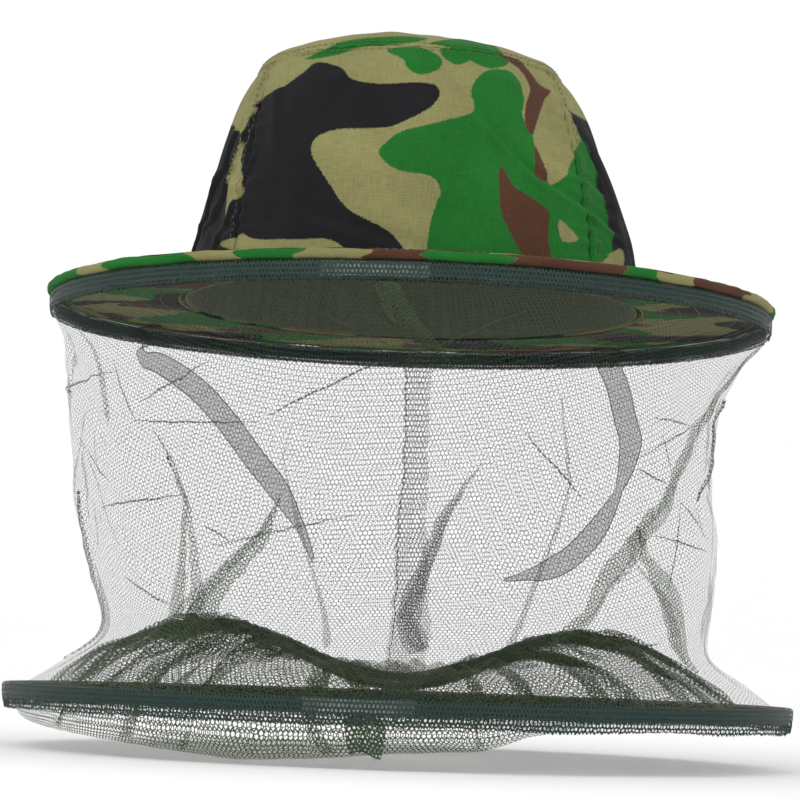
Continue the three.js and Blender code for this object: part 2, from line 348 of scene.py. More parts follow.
def printed_cotton(name, shade=1.0):
    material, tree, shader = finish(name, 0.86)
    warp = stretched_noise(tree, 2600.0, 160.0)
    weft = stretched_noise(tree, 160.0, 2600.0)
    threads = calc(tree, "ADD", warp, weft)
    bleed = stretched_noise(tree, 900.0, 900.0)
    edge_wander = calc(tree, "MULTIPLY", calc(tree, "SUBTRACT", bleed, 0.5), 0.0016)
    colour = tuple(shade * c for c in TAN[:3]) + (1,)
    for ink, paint in zip(INKS, (GREEN, BROWN, BLACK, TAN)):
        field = node(tree, "ShaderNodeAttribute", attribute_name="print_" + ink).outputs["Fac"]
        wandering = calc(tree, "ADD", field, edge_wander)
        inside = remap(tree, wandering, 0.0, 1.0, PRINT_EDGE, -PRINT_EDGE)
        shaded = tuple(shade * c for c in paint[:3]) + (1,)
        colour = mix_colour(tree, inside, colour, shaded)
    patchy = stretched_noise(tree, 28.0, 28.0, 4.0)
    worn = calc(tree, "MULTIPLY_ADD", patchy, 0.5, calc(tree, "MULTIPLY_ADD", threads, 0.5, 0.02))
    tinted = vector_calc(tree, "SCALE", colour)
    scale_node = tinted.node
    tree.links.new(worn, scale_node.inputs["Scale"])
    tree.links.new(tinted, shader.inputs["Base Color"])
    emboss(tree, shader, threads, 0.35, 0.00025)
    shader.inputs["Sheen Weight"].default_value = 0.02
    shader.inputs["Sheen Roughness"].default_value = 0.5
    shader.inputs["Specular IOR Level"].default_value = 0.1
    return material


cotton = printed_cotton("printed_cotton")
# A copy at four fifths of the brightness, for the brim's underside: painted shade standing for the shadow
# under the brim.
cotton_painted_shade = printed_cotton("printed_cotton_painted_shade", 0.8)

# %% [markdown]
# The front of the crown is what one looks at, so its patches are given as outlines. Each lies on the middle
# plane of the hat, in millimetres, as seen from the camera's place. The rest of the print comes from
# `drift`, warped a little so that the patches look poured rather than cut.

# %% Patches drawn for the front of the crown
CLAW = [(-81, 34), (-61, 32), (-42, 33), (-33, 29), (-26, 22), (-2, 22), (-8, 34), (-16, 40), (-32, 48),
        (-41, 59), (-48, 69), (-50, 76), (-47, 82), (-38, 86), (-24, 87), (-13, 88), (-2, 93), (6, 98),
        (10, 104), (8, 109), (0, 110), (-12, 109), (-23, 109), (-33, 111), (-38, 116), (-49, 118),
        (-56, 112), (-66, 104), (-75, 99), (-79, 90), (-83, 80), (-82, 55)]
SIDE_SLIT = [(-82, 78), (-84, 68), (-83, 53), (-88, 48), (-90, 40), (-90, 52), (-87, 66)]
TAN_CURL = [(-84, 104), (-77, 96), (-80, 88), (-83, 82), (-88, 88), (-92, 100)]
GREEN_MASS = [(5, 65), (-8, 67), (-15, 71), (-18, 76), (-14, 81), (-7, 86), (4, 89), (14, 92), (24, 95),
              (27, 99), (25, 106), (27, 112), (33, 117), (42, 117), (47, 112), (50, 103), (50, 95),
              (57, 84), (61, 74), (72, 70), (80, 90), (90, 80), (100, 40), (94, 6), (40, -4), (8, 4),
              (7, 36), (10, 51), (12, 57), (10, 62)]
DIAMOND = [(40, 71), (47, 62), (55, 57), (64, 50), (64, 40), (65, 20), (57, 20), (50, 32), (45, 41), (41, 50)]
STRIPE = [(36, 125), (47, 122), (57, 112), (64, 107), (60, 99), (57, 87), (52, 90), (51, 100), (53, 109),
          (47, 118)]
CHIP = [(57, 84), (61, 74), (66, 66), (59, 66)]
TAN_BLADE = [(64, 108), (71, 100), (75, 91), (73, 81), (74, 73), (71, 66), (66, 63), (64, 68), (60, 77),
             (56, 87)]
TAN_CORNER = [(69, 46), (78, 37), (70, 36)]
TAN_FOOT = [(97, 33), (99, 24), (84, 19), (88, 25)]
EDGE_STRIPE = [(71, 100), (81, 82), (86, 64), (92, 45), (94, 32), (98, 18), (118, 10), (108, 45), (92, 80)]
TOP_OVAL = [(-16, 125), (-2, 127), (8, 124), (11, 120), (8, 116), (0, 114), (-6, 117), (-8, 121)]
SMALL_OVAL = [(10, 127), (18, 126), (24, 122), (18, 119), (12, 122)]
TOP_RIM = [(4, 129), (20, 132), (34, 130), (42, 121), (35, 118), (27, 120), (15, 127)]
TOP_LEFT_RIM = [(-55, 119), (-44, 125), (-35, 129), (-10, 132), (4, 131), (-14, 127.5), (-28, 126),
                (-40, 122)]
LEFT_EDGE = [(-85, 88), (-83, 80), (-86, 70), (-90, 58), (-91, 40), (-97, 30), (-110, 24), (-98, 60),
             (-91, 80)]
LEFT_FOOT = [(-92, 48), (-80, 53), (-80, 36), (-91, 29), (-86, 26), (-88, 22), (-112, 16), (-104, 32)]
DRAWN = {
    "green": [GREEN_MASS, TOP_OVAL, SMALL_OVAL, TOP_RIM, TOP_LEFT_RIM],
    "brown": [DIAMOND, STRIPE, CHIP],
    "black": [CLAW, EDGE_STRIPE, LEFT_EDGE, LEFT_FOOT],
    "tan": [SIDE_SLIT, TAN_CURL, TAN_BLADE, TAN_CORNER, TAN_FOOT],
}


def outline_distance(outline, x, z):
    """Distance to a smooth closed outline, below zero inside it."""
    ring = np.array(outline + outline[:1], float) * MM
    padded = np.vstack([ring[-2], ring, ring[1]])
    share = np.linspace(1 / (len(padded) - 1), 1 - 1 / (len(padded) - 1), 6 * len(ring))
    edge = spline(padded, share)
    start, step = edge[:-1], np.diff(edge, axis=0)
    spot = np.stack([x, z], -1)
    nearest = np.full(x.shape, np.inf)
    inside = np.zeros(x.shape, bool)
    for a, d in zip(start, step):
        away = spot - a
        along = np.clip((away @ d) / max(d @ d, 1e-12), 0, 1)
        nearest = np.minimum(nearest, np.hypot(*(away - along[..., None] * d).transpose()).transpose())
        crosses = (a[1] > spot[..., 1]) != (a[1] + d[1] > spot[..., 1])
        reach = a[0] + d[0] * (spot[..., 1] - a[1]) / (d[1] if abs(d[1]) > 1e-12 else 1e-12)
        inside ^= crosses & (spot[..., 0] < reach)
    return np.where(inside, -nearest, nearest)


# ink, how little it covers, size of its patches in metres, and what is added to the seed
POURED = [("green", 0.02, 0.085, 2), ("brown", 0.24, 0.07, 3), ("black", 0.27, 0.075, 4)]


def poured_fields(u, v, seed):
    """The print where it isn't drawn. A wider field gives fewer, larger patches."""
    warp_u = u + 0.014 * drift(u, v, 0.05, seed)
    warp_v = v + 0.010 * drift(u, v, 0.05, seed + 1)
    fields = {}
    for ink, cover, size, later in POURED:
        blob = drift(warp_u * 0.75, warp_v * 1.3, size, seed + later)
        fields[ink] = (cover - blob) * size * 0.6
    fields["tan"] = np.full(u.shape, 1.0)
    return fields


def store_print(piece, fields):
    for ink, field in fields.items():
        attribute = piece.data.attributes.new("print_" + ink, "FLOAT", "POINT")
        attribute.data.foreach_set("value", field.reshape(-1).astype(np.float32))


def paint(piece, points, u, v, seed, drawn_share=None):
    """Stores the print on a piece's points, drawn_share of it from the outlines and the rest poured."""
    fields = poured_fields(u, v, seed)
    if drawn_share is not None:
        depth = -EYE.y / (points[..., 1] - EYE.y)
        x = points[..., 0] * depth
        z = EYE.z + (points[..., 2] - EYE.z) * depth
        for ink, outlines in DRAWN.items():
            drawn = np.minimum.reduce([outline_distance(outline, x, z) for outline in outlines])
            fields[ink] = fields[ink] * (1 - drawn_share) + drawn * drawn_share
    store_print(piece, fields)


# %% [markdown]
# ## The crown
# Four side panels and an oval tip. Cotton on a crown slumps a little, so the radius follows the pattern's
# curve and then gives way to soft dents, to puckers beside each seam and to creases. The whole top leans
# slightly to one side.

# %% Crown shape
SIDE_CURVE = [(110, 0.4), (105.2, 22), (93.8, 58), (81.5, 93), (71.5, 110)]
TIP_CURVE = [(72.3, 109.6), (69.6, 113.6), (63, 117), (52, 120.2), (30, 123), (12, 123.8), (0, 124)]
HEAD_STRETCH = 1.06
# how far the crown has leaned to one side, and at what height
SLUMP, SLUMP_HEIGHT = 3.4 * MM, 100 * MM
# mean radius of the wall, which turns an angle into a length of cloth
CROWN_MEAN = 0.095


def seam_turns(share):
    """The four seams' angles. The front and back panels are cut wider at the top than the sides are."""
    spread = math.pi / 4 + math.radians(17) * share
    return [FRONT - spread, FRONT + spread, -FRONT - spread, -FRONT + spread]


def lean(z):
    return -SLUMP * (z / SLUMP_HEIGHT) ** 2


def crown_plain(angle, share):
    """The wall as it would be without any dents, which is where the print is laid out."""
    radius, z = np.moveaxis(spline(SIDE_CURVE, share), -1, 0) * MM
    return around(radius, angle, z, HEAD_STRETCH, lean(z))


def crown_side(angle, share):
    """Points on the crown's wall. angle runs round it, share runs from the brim up to the tip's seam."""
    radius, z = np.moveaxis(spline(SIDE_CURVE, share), -1, 0) * MM
    arc = angle * CROWN_MEAN
    dents = 2.5 * MM * drift(arc, z, 0.055, 11) + 0.9 * MM * drift(arc * 1.4, z * 0.6, 0.022, 12)
    seam_gap = np.min([np.abs(angle_past(angle, seam)) for seam in seam_turns(share)], 0) * radius
    puckering = np.sin(z / (1.15 * MM) + 3 * drift(0 * arc, z, 0.02, 13))
    pucker = 0.55 * MM * np.exp(-seam_gap / (9 * MM)) * puckering
    beside = np.exp(-((seam_gap - 3.2 * MM) / (1.8 * MM)) ** 2)
    groove = -1.1 * MM * np.exp(-(seam_gap / (1.3 * MM)) ** 2) + 0.5 * MM * beside
    free = smooth(0, 0.12, share) * (1 - 0.6 * smooth(0.85, 1, share))
    dents = dents * (1 - np.exp(-(seam_gap / (7 * MM)) ** 2))
    radius = radius + dents * free + (pucker + groove) * smooth(0, 0.05, share)
    radius = radius + crease_depth(angle, z) * free
    rim = 0.7 * MM * np.exp(-((1 - share) / 0.035) ** 2)
    return around(radius + rim, angle, z, HEAD_STRETCH, lean(z))


# %% [markdown]
# A crease is a line on the cloth with a shallow valley on one side and a ridge on the other.

# %% Creases
CREASES = [
    # turn from the front in degrees and height in mm at each end, depth in mm, width in mm
    ((12, 84), (36, 50), 1.9, 2.6),
    ((30, 55), (74, 25), 2.2, 3.0),
    ((40, 62), (70, 48), 1.4, 3.4),
    ((6, 102), (26, 66), 1.5, 3.4),
    ((-56, 94), (-68, 24), 1.7, 2.8),
    ((-66, 82), (-80, 12), 2.0, 2.6),
    ((-50, 62), (-58, 10), 1.2, 2.4),
    ((58, 96), (70, 40), 1.6, 3.2),
    ((48, 40), (62, 6), 1.3, 2.6),
    ((-30, 30), (6, 8), 0.9, 4.0),
    ((-30, 96), (-12, 104), 1.0, 3.5),
    ((8, 106), (38, 98), 1.0, 3.5),
    ((-84, 40), (-46, 20), 1.1, 3.5),
    ((-80, 62), (-50, 46), 1.0, 3.5),
    ((-48, 104), (-40, 60), 1.3, 5.0),
    ((10, 30), (-38, 62), 0.8, 9.0),
    ((72, 84), (84, 24), 1.6, 7.0),
    ((-75, 70), (-62, 20), 1.5, 7.0),
    ((150, 90), (118, 30), 1.8, 8.0),
    ((-160, 40), (-122, 84), 1.6, 8.0),
]


def crease_depth(angle, z):
    turn = angle_past(angle, FRONT)
    total = np.zeros(np.shape(z))
    for (turn_a, high_a), (turn_b, high_b), depth, width in CREASES:
        a = np.array([math.radians(turn_a) * CROWN_MEAN, high_a * MM])
        b = np.array([math.radians(turn_b) * CROWN_MEAN, high_b * MM])
        line = b - a
        spot_x, spot_z = turn * CROWN_MEAN - a[0], z - a[1]
        length = math.hypot(*line)
        along = (spot_x * line[0] + spot_z * line[1]) / length ** 2
        off = (spot_x * line[1] - spot_z * line[0]) / length
        ends = smooth(-0.1, 0.2, along) * (1 - smooth(0.8, 1.1, along))
        x = off / (width * MM)
        total = total + ends * depth * MM * x * np.exp(0.5 - x * x)
    return total


def crown_top(angle, share):
    """Points on the tip, from its seam in to the middle."""
    radius, z = np.moveaxis(spline(TIP_CURVE, share), -1, 0) * MM
    x, y = radius * np.cos(angle), radius * np.sin(angle) * HEAD_STRETCH
    dents = 1.6 * MM * drift(x, y, 0.04, 21) + 0.6 * MM * drift(x, y, 0.015, 22)
    rim = np.exp(-(share / 0.06) ** 2)
    pucker = 0.4 * MM * np.sin(angle * 60 + 4 * drift(x, y, 0.03, 23)) * np.exp(-share / 0.12)
    height = z + dents * smooth(0, 0.3, share) + pucker + 0.5 * MM * rim
    return np.stack([x + lean(z), y, height], -1)


# %% [markdown]
# Each panel runs from one seam to the next. Within about ninety degrees of the front it takes the drawn
# patches, and beyond them the print changes to the poured one.

# %% Crown panels
PANEL_COLUMNS, PANEL_ROWS = 130, 90
PANEL_HEIGHT = 0.118
CLOTH_THICKNESS = 0.9 * MM
PANELS = {"front": (0, 1), "left": (1, 2), "back": (2, 3), "right": (3, 0)}

for seed, (side, (first, last)) in enumerate(PANELS.items()):
    across, share = np.meshgrid(np.linspace(0, 1, PANEL_COLUMNS), np.linspace(0, 0.998, PANEL_ROWS))
    seams = seam_turns(share)
    begin = seams[first]
    angle = begin + ((seams[last] - begin) % TURN) * across
    points = crown_side(angle, share)
    arc, up = angle * CROWN_MEAN, share * PANEL_HEIGHT
    panel = cloth_grid(f"crown_{side}_cloth", points, np.stack([arc, up], -1))
    turn = np.abs(angle_past(angle, FRONT))
    drawn_share = 1 - smooth(math.radians(80), math.radians(98), turn)
    paint(panel, crown_plain(angle, share), arc + seed * 0.37, up, 31 + seed, drawn_share)
    thicken(panel, CLOTH_THICKNESS)
    fit(panel, cotton, "hat", "camo_cloth", f"crown_{side}_panel")

# %% [markdown]
# The tip is a grid too, whose columns run in to the middle. It is flat enough that its place on the cloth is
# simply its place seen from above.

# %% Crown tip
TIP_COLUMNS, TIP_ROWS = 240, 44


def from_above(points):
    """Flat places of a closed grid that lies nearly level."""
    return np.concatenate([points, points[:, :1]], 1)[..., :2]


angle, share = ring_places(TIP_COLUMNS, TIP_ROWS, 0, 0.985)
points = crown_top(angle, share)
tip = cloth_grid("crown_tip_cloth", points, from_above(points), closed=True)
front_share = 1 - smooth(-0.02, 0.03, points[..., 1])
paint(tip, points, points[..., 0] + 0.5, points[..., 1], 41, front_share)
thicken(tip, CLOTH_THICKNESS)
fit(tip, cotton, "hat", "camo_cloth", "crown_tip")

# %% [markdown]
# ## The brim
# Two cloths lie over and under a stiff interlining, and a folded strip of the same cloth closes the edge.
# The interlining keeps its shape from the frame. The cloths are discs with a hole, a little slack between
# the rows of stitches.

# %% Brim cloths
BRIM_COLUMNS, BRIM_ROWS = 400, 46
# in mm: the cloths' inner and outer radius, and the rows of stitches
BRIM_INNER, BRIM_OUTER = 110, 167.5
STITCH_RINGS = [118, 127, 136, 145, 154]


def brim_stretch(share):
    """The head opening is oval and the rim is round."""
    return 1 + (HEAD_STRETCH - 1) * (1 - smooth(0, 0.75, share))


def brim_ring(level, sag):
    """A flat ring of cloth. sag is how far it stands away from the interlining between stitches."""
    angle, share = ring_places(BRIM_COLUMNS, BRIM_ROWS)
    radius = BRIM_INNER * MM + (BRIM_OUTER * MM - BRIM_INNER * MM) * share
    x, y = radius * np.cos(angle), radius * np.sin(angle) * brim_stretch(share)
    held = np.min([np.abs(radius / MM - ring) for ring in STITCH_RINGS], 0)
    loose = smooth(0, 3.5, held)
    wave = 0.5 + 0.5 * drift(x, y, 0.016, 51)
    return np.stack([x, y, level + sag * loose * wave], -1)


def brim_cloth(side, material, points, u, v, seed, offset):
    cloth = cloth_grid(f"brim_{side}_cotton", points, from_above(points), closed=True)
    paint(cloth, points, u, v, seed)
    thicken(cloth, 0.8 * MM, offset)
    fit(cloth, material, "hat", "camo_cloth", f"brim_{side}_cloth")


TOP_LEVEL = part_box("brim_top_cloth")[0].z + 0.9 * MM
UNDER_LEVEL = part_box("brim_under_cloth")[1].z - 0.9 * MM
points = brim_ring(TOP_LEVEL, 0.7 * MM)
brim_cloth("top", cotton, points, points[..., 0] + 0.9, points[..., 1], 61, 1.0)
points = brim_ring(UNDER_LEVEL, -0.7 * MM)
# The under cloth takes the darker copy of the print, which is painted shade.
brim_cloth("under", cotton_painted_shade, points, points[..., 0] * 1.5 + 0.4, points[..., 1] * 1.5 + 0.2, 66, -1.0)

# %% [markdown]
# The edge strip is folded over the rim. It is short pieces of print sewn in a ring, so its colours come in
# blocks. It was sewn round a curve, so it puckers a little.

# %% Edge strip
EDGE_FOLD = [(161.5, 4.1), (166, 4.05), (169.4, 3.6), (170.6, 2.8), (171.0, 1.8), (170.6, 0.6), (169.4, -0.2),
             (166, -0.55), (161.5, -0.5)]
# turn from the front in degrees where each ink ends, going round from the wearer's right to the left
EDGE_INKS = [(-150, "green"), (-128, "brown"), (-112, "green"), (-98, None), (-60, "green"), (-52, None),
             (-34, "green"), (-25, None), (-16.6, "green"), (-6.6, None), (1.6, "brown"), (13.7, "green"),
             (33, "brown"), (38, "green"), (45, None), (61, "brown"), (76, None), (92, "green"),
             (120, "black"), (145, "green"), (165, "brown"), (181, "green")]
EDGE_RADIUS = 0.17
EDGE_WIDTH = 0.023

angle, along = ring_places(720, 25)
radius, z = np.moveaxis(spline(EDGE_FOLD, along), -1, 0) * MM
pucker = drift(angle * EDGE_RADIUS, along * 0.02, 0.008, 71)
radius = radius + 0.25 * MM * pucker
z = z + 0.6 * MM * drift(angle * EDGE_RADIUS, np.zeros_like(angle), 0.024, 72) + 0.16 * MM * pucker
edge_strip = cloth_ring("brim_edge_strip", around(radius, angle, z), EDGE_WIDTH, TURN * EDGE_RADIUS)
turn = np.degrees(angle_past(angle, FRONT))
turn = turn + 2.2 * drift(angle * EDGE_RADIUS, along * EDGE_WIDTH, 0.01, 73)
fields = {ink: np.full(turn.shape, 1.0) for ink in INKS}
start = -181
for end, ink in EDGE_INKS:
    inside = np.maximum(start - turn, turn - end) * math.radians(EDGE_RADIUS)
    if ink:
        fields[ink] = np.minimum(fields[ink], inside)
    start = end
store_print(edge_strip, fields)
thicken(edge_strip, 0.4 * MM, 1.0)
fit(edge_strip, cotton, "hat", "camo_cloth", "brim_edge_binding")

# %% [markdown]
# ## Stitches
# A lockstitch shows as a row of short raised dashes with a small gap. Each dash is modelled as a slim
# bead that sinks into the cloth at both ends, and a whole row is one mesh.

# %% Stitches


def thread(name, tint):
    material, tree, shader = finish(name, 0.7)
    ply = node(tree, "ShaderNodeTexNoise", {"Scale": 2600.0, "Detail": 1.0}).outputs[0]
    dye(tree, shader, remap(tree, ply, 0.6, 1.35), tint, 0.5)
    emboss(tree, shader, ply, 0.5, 0.0002)
    return material


olive_thread = thread("olive_thread", (0.12, 0.13, 0.06))
dark_thread = thread("dark_green_thread", (0.02, 0.035, 0.022))


def stitch_row(name, lines, away, material, body, slot, length=2.6 * MM, gap=0.8 * MM, width=0.45 * MM):
    """Dashes along each line of points. away gives the direction out of the cloth at each line's points."""
    corners, faces = [], []
    for line, out in zip(lines, away):
        line, out = np.asarray(line, float), np.asarray(out, float)
        far = np.r_[0, np.cumsum(np.linalg.norm(np.diff(line, axis=0), axis=1))]
        for start in np.arange(gap, far[-1] - length, length + gap):
            spots = np.array([[np.interp(start + s * length, far, line[:, k]) for k in range(3)]
                              for s in (0, 0.25, 0.5, 0.75, 1)])
            up = np.array([np.interp(start + length / 2, far, out[:, k]) for k in range(3)])
            up = up / np.linalg.norm(up)
            ahead = spots[-1] - spots[0]
            side = np.cross(ahead / np.linalg.norm(ahead), up)
            base = len(corners)
            for spot, rise, girth in zip(spots, (-0.35, 0.3, 0.5, 0.3, -0.35), (0.3, 0.9, 1, 0.9, 0.3)):
                for k in range(6):
                    a = TURN * k / 6
                    corners.append(spot + up * width * (rise + 0.42 * girth * math.sin(a))
                                   + side * width * 0.5 * girth * math.cos(a))
            for ring in range(4):
                for k in range(6):
                    a, b = base + ring * 6 + k, base + ring * 6 + (k + 1) % 6
                    faces.append((a, b, b + 6, a + 6))
            faces.append(tuple(range(base + 5, base - 1, -1)))
            faces.append(tuple(range(base + 24, base + 30)))
    return fit(smooth_piece(name, [tuple(c) for c in corners], faces), material, body, slot)


# %% [markdown]
# Each crown seam is held down by two rows of stitches on the side panel's edge. One row runs on either side
# of the tip's seam.

# %% Stitches on the crown
lines, outs = [], []
for seam in range(4):
    for offset in (2.6 * MM, 5.4 * MM):
        share = np.linspace(0.03, 0.97, 90)
        radius = spline(SIDE_CURVE, share)[:, 0] * MM
        outwards = -1 if seam in (0, 2) else 1
        angle = seam_turns(share)[seam] + outwards * offset / radius
        line = crown_side(angle, share)
        out = np.stack([np.cos(angle), np.sin(angle), 0.25 + 0 * angle], -1)
        lines.append(line + 0.12 * MM * out)
        outs.append(out)
stitch_row("crown_seam_stitches", lines, outs, olive_thread, "hat", "camo_cloth", width=0.36 * MM)

angle = np.linspace(0, TURN, 500)
line = crown_top(angle, np.full(500, 0.11))
out = np.stack([0.6 * np.cos(angle), 0.6 * np.sin(angle), np.ones(500)], -1)
low_line = crown_side(angle, np.full(500, 0.965))
low_out = np.stack([np.cos(angle), np.sin(angle), 0.3 + 0 * angle], -1)
stitch_row("crown_tip_stitches", [line + 0.1 * MM * out, low_line + 0.1 * MM * low_out], [out, low_out],
           olive_thread, "hat", "camo_cloth", width=0.34 * MM)

# %% [markdown]
# The brim is quilted in rings, and one more row holds the edge strip. Each ring shows above and below.

# %% Stitches on the brim
EDGE_RING = 163
lines, outs = [], []
for radius in STITCH_RINGS + [EDGE_RING]:
    angle = np.linspace(0, TURN, 420)
    share = (radius - BRIM_INNER) / (BRIM_OUTER - BRIM_INNER)
    x, y = radius * MM * np.cos(angle), radius * MM * np.sin(angle) * brim_stretch(share)
    raised = 0.85 * MM if radius == EDGE_RING else 0
    for level, up in ((TOP_LEVEL + raised, 1), (UNDER_LEVEL - raised, -1)):
        lines.append(np.stack([x, y, np.full(420, level)], -1))
        outs.append(np.stack([0 * x, 0 * x, np.full(420, float(up))], -1))
stitch_row("brim_stitches", lines, outs, olive_thread, "hat", "camo_cloth")

# %% [markdown]
# ## Lining tape and interlining
# A soft olive tape covers the seam inside the head opening. The interlining is a stiff felted sheet: its
# shape in the frame is right, so it only gets a fibrous finish.

# %% Sweatband


def woven_tape(name, tint, wale=900.0):
    material, tree, shader = finish(name, 0.85)
    rib = stretched_noise(tree, wale * 0.15, wale)
    soil = stretched_noise(tree, 40.0, 40.0, 4.0)
    shade = calc(tree, "MULTIPLY_ADD", rib, 0.5, calc(tree, "MULTIPLY_ADD", soil, 0.4, 0.05))
    dye(tree, shader, shade, tint, 0.6)
    emboss(tree, shader, rib, 0.5, 0.0003)
    return material


# how far inside the wall's curve the tape lies, in mm
BAND_INSET = 4.2
band_low, band_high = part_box("sweatband")
angle, share = ring_places(300, 16)
height = band_low.z + 0.2 * MM + (band_high.z - band_low.z - 0.4 * MM) * share
wall = np.array([(z, r) for r, z in spline(SIDE_CURVE, np.linspace(0, 1, 50))])
radius = (np.interp(height / MM, *wall.T) - BAND_INSET) * MM
uneven = 0.3 * MM * drift(angle * 0.11, share * 0.03, 0.02, 81)
radius = radius - 0.3 * MM * np.sin(angle * 90) * (1 - share) + uneven
sweatband = cloth_ring("sweatband_tape", around(radius, angle, height, HEAD_STRETCH), 0.028, 0.69)
thicken(sweatband, 0.7 * MM, 1.0)
fit(sweatband, woven_tape("cotton_tape", (0.12, 0.135, 0.08)), "hat", "lining_tape", "sweatband")
print("sweatband", [round(v, 4) for v in (*band_low, *band_high)])

# %% [markdown]
# The hoops keep their shape from the frame as well. They are plastic strip, drawn through a die, which
# leaves fine lines along it.

# %% Interlining and hoops keep their shape


def felt(name, tint):
    material, tree, shader = finish(name, 0.95)
    fibre = node(tree, "ShaderNodeTexNoise", {"Scale": 700.0, "Detail": 5.0, "Distortion": 1.5}).outputs[0]
    dye(tree, shader, fibre, tint, 0.7)
    emboss(tree, shader, fibre, 0.6, 0.0003)
    return material


def drawn_plastic(name, tint):
    """A plastic strip drawn through a die: fine lines along it, scuffs, and a satin shine."""
    material, tree, shader = finish(name, 0.4)
    place = node(tree, "ShaderNodeTexCoord").outputs["Object"]
    drawn_out = vector_calc(tree, "MULTIPLY", place, (30.0, 30.0, 2400.0))
    lines = node(tree, "ShaderNodeTexNoise", {"Vector": drawn_out, "Scale": 1.0, "Detail": 2.0}).outputs[0]
    scuff = node(tree, "ShaderNodeTexNoise", {"Vector": place, "Scale": 90.0, "Detail": 5.0}).outputs[0]
    dye(tree, shader, scuff, tint, 0.75, 1.3)
    tree.links.new(remap(tree, scuff, 0.28, 0.55), shader.inputs["Roughness"])
    emboss(tree, shader, lines, 0.3, 0.0001)
    return material


def refinish(name, material):
    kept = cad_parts[name]
    kept.data.materials.clear()
    kept.data.materials.append(material)
    print(name, "keeps its shape, now in", material.name)


teal_plastic = drawn_plastic("teal_plastic", (0.012, 0.055, 0.052))
refinish("brim_stiffener", felt("interlining_felt", (0.72, 0.72, 0.68)))
refinish("upper_hoop", teal_plastic)
refinish("lower_hoop", teal_plastic)

# %% [markdown]
# ## Clear sleeves
# Each hoop is a strip bent round until its ends meet inside a short clear tube. The tube is pressed flat
# over the strip and stands open round the gap, where it catches the light.

# %% Clear sleeves


def clear_plastic(name):
    material, tree, shader = finish(name, 0.08)
    shader.inputs["Base Color"].default_value = (0.86, 0.9, 0.88, 1)
    shader.inputs["IOR"].default_value = 1.45
    shader.inputs["Coat Weight"].default_value = 0.5
    place = node(tree, "ShaderNodeTexCoord").outputs["Object"]
    haze = node(tree, "ShaderNodeTexNoise", {"Vector": place, "Scale": 260.0, "Detail": 3.0}).outputs[0]
    tree.links.new(remap(tree, haze, 0.06, 0.34), shader.inputs["Alpha"])
    cloudy = mix_colour(tree, haze, (0.7, 0.76, 0.74, 1), (0.9, 0.93, 0.92, 1))
    tree.links.new(cloudy, shader.inputs["Base Color"])
    emboss(tree, shader, haze, 0.3, 0.0004)
    return material


clear = clear_plastic("clear_tube")
for hoop, body in (("upper", "hat"), ("lower", "lower_ring")):
    low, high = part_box(f"{hoop}_hoop_connector")
    radius = (UPPER_RADIUS if hoop == "upper" else LOWER_RADIUS) - 0.6 * MM
    turns = [math.atan2(x, radius) for x in (low.x, high.x)]
    girths = np.linspace(0, TURN, 24, endpoint=False)
    along, round_ = np.meshgrid(np.linspace(*turns, 60), girths, indexing="ij")
    share = (along - turns[0]) / (turns[1] - turns[0])
    open_ = smooth(0.12, 0.3, share) * (1 - smooth(0.7, 0.88, share))
    deep = (1.15 + 0.35 * open_) * MM
    tall = (high.z - low.z) / 2 * (1 - 0.06 * open_)
    c, s = np.cos(round_), np.sin(round_)
    out = deep * np.sign(c) * np.abs(c) ** 0.7
    up = tall * np.sign(s) * np.abs(s) ** 0.7
    points = around(radius + out, FRONT + along, (low.z + high.z) / 2 + up)
    points = np.swapaxes(points, 0, 1)
    points = np.concatenate([points, points[:1]], 0)
    sleeve = cloth_grid(f"{hoop}_clear_sleeve", points, flat_places(25, 60, 0.012, 0.04))
    welded = sleeve.modifiers.new("Join", "WELD")
    welded.merge_threshold = 0.00001
    thicken(sleeve, 0.3 * MM, -1.0)
    fit(sleeve, clear, body, "clear_sleeve", f"{hoop}_hoop_connector")
    print(hoop, "sleeve", [round(v, 4) for v in (*low, *high)])

# %% [markdown]
# ## Net
# The net is knitted in hexagons about two millimetres wide. Modelling every thread would take millions of
# faces, so the holes are cut by the shader: it works out how far a place is from the edge of its cell, and
# keeps only what lies close to an edge. Two grids of cell centres, half a cell apart, give all the hexagons.

# %% Net finish
NET_PITCH = 1.95 * MM
ROOT3 = math.sqrt(3)
# half the width over which a thread's edge fades, as a share of a cell
THREAD_BLUR = 0.035


def hex_net(name, tint, thread_share, haze=0.0):
    """Net whose threads are thread_share of a cell thick. haze fills the holes a little, for doubled net."""
    material, tree, shader = finish(name, 0.55)
    flat = node(tree, "ShaderNodeUVMap", uv_map="Flat").outputs[0]
    cells = vector_calc(tree, "MULTIPLY", flat, (1 / NET_PITCH, 1 / NET_PITCH, 0.0))
    half = (0.5, ROOT3 / 2, 1.0)

    def to_edge(place):
        wrapped = vector_calc(tree, "WRAP", place, half, tuple(-h for h in half))
        folded = vector_calc(tree, "ABSOLUTE", wrapped)
        slanted = vector_calc(tree, "DOT_PRODUCT", folded, (0.5, ROOT3 / 2, 0.0))
        level = node(tree, "ShaderNodeSeparateXYZ", {0: folded}).outputs[0]
        return calc(tree, "MAXIMUM", slanted, level)

    shifted = vector_calc(tree, "ADD", cells, half)
    nearest = calc(tree, "MINIMUM", to_edge(cells), to_edge(shifted))
    uneven = stretched_noise(tree, 350.0, 350.0, 3.0)
    wavering = calc(tree, "MULTIPLY_ADD", uneven, 0.06, calc(tree, "SUBTRACT", nearest, 0.03))
    edge = 0.5 - thread_share / 2
    holes = remap(tree, wavering, haze, 1.0, edge - THREAD_BLUR, edge + THREAD_BLUR)
    tree.links.new(holes, shader.inputs["Alpha"])
    dye(tree, shader, stretched_noise(tree, 30.0, 30.0, 3.0), tint, 0.65, 1.35)
    emboss(tree, shader, wavering, 0.4, 0.0003)
    shader.inputs["Specular IOR Level"].default_value = 0.3
    return material


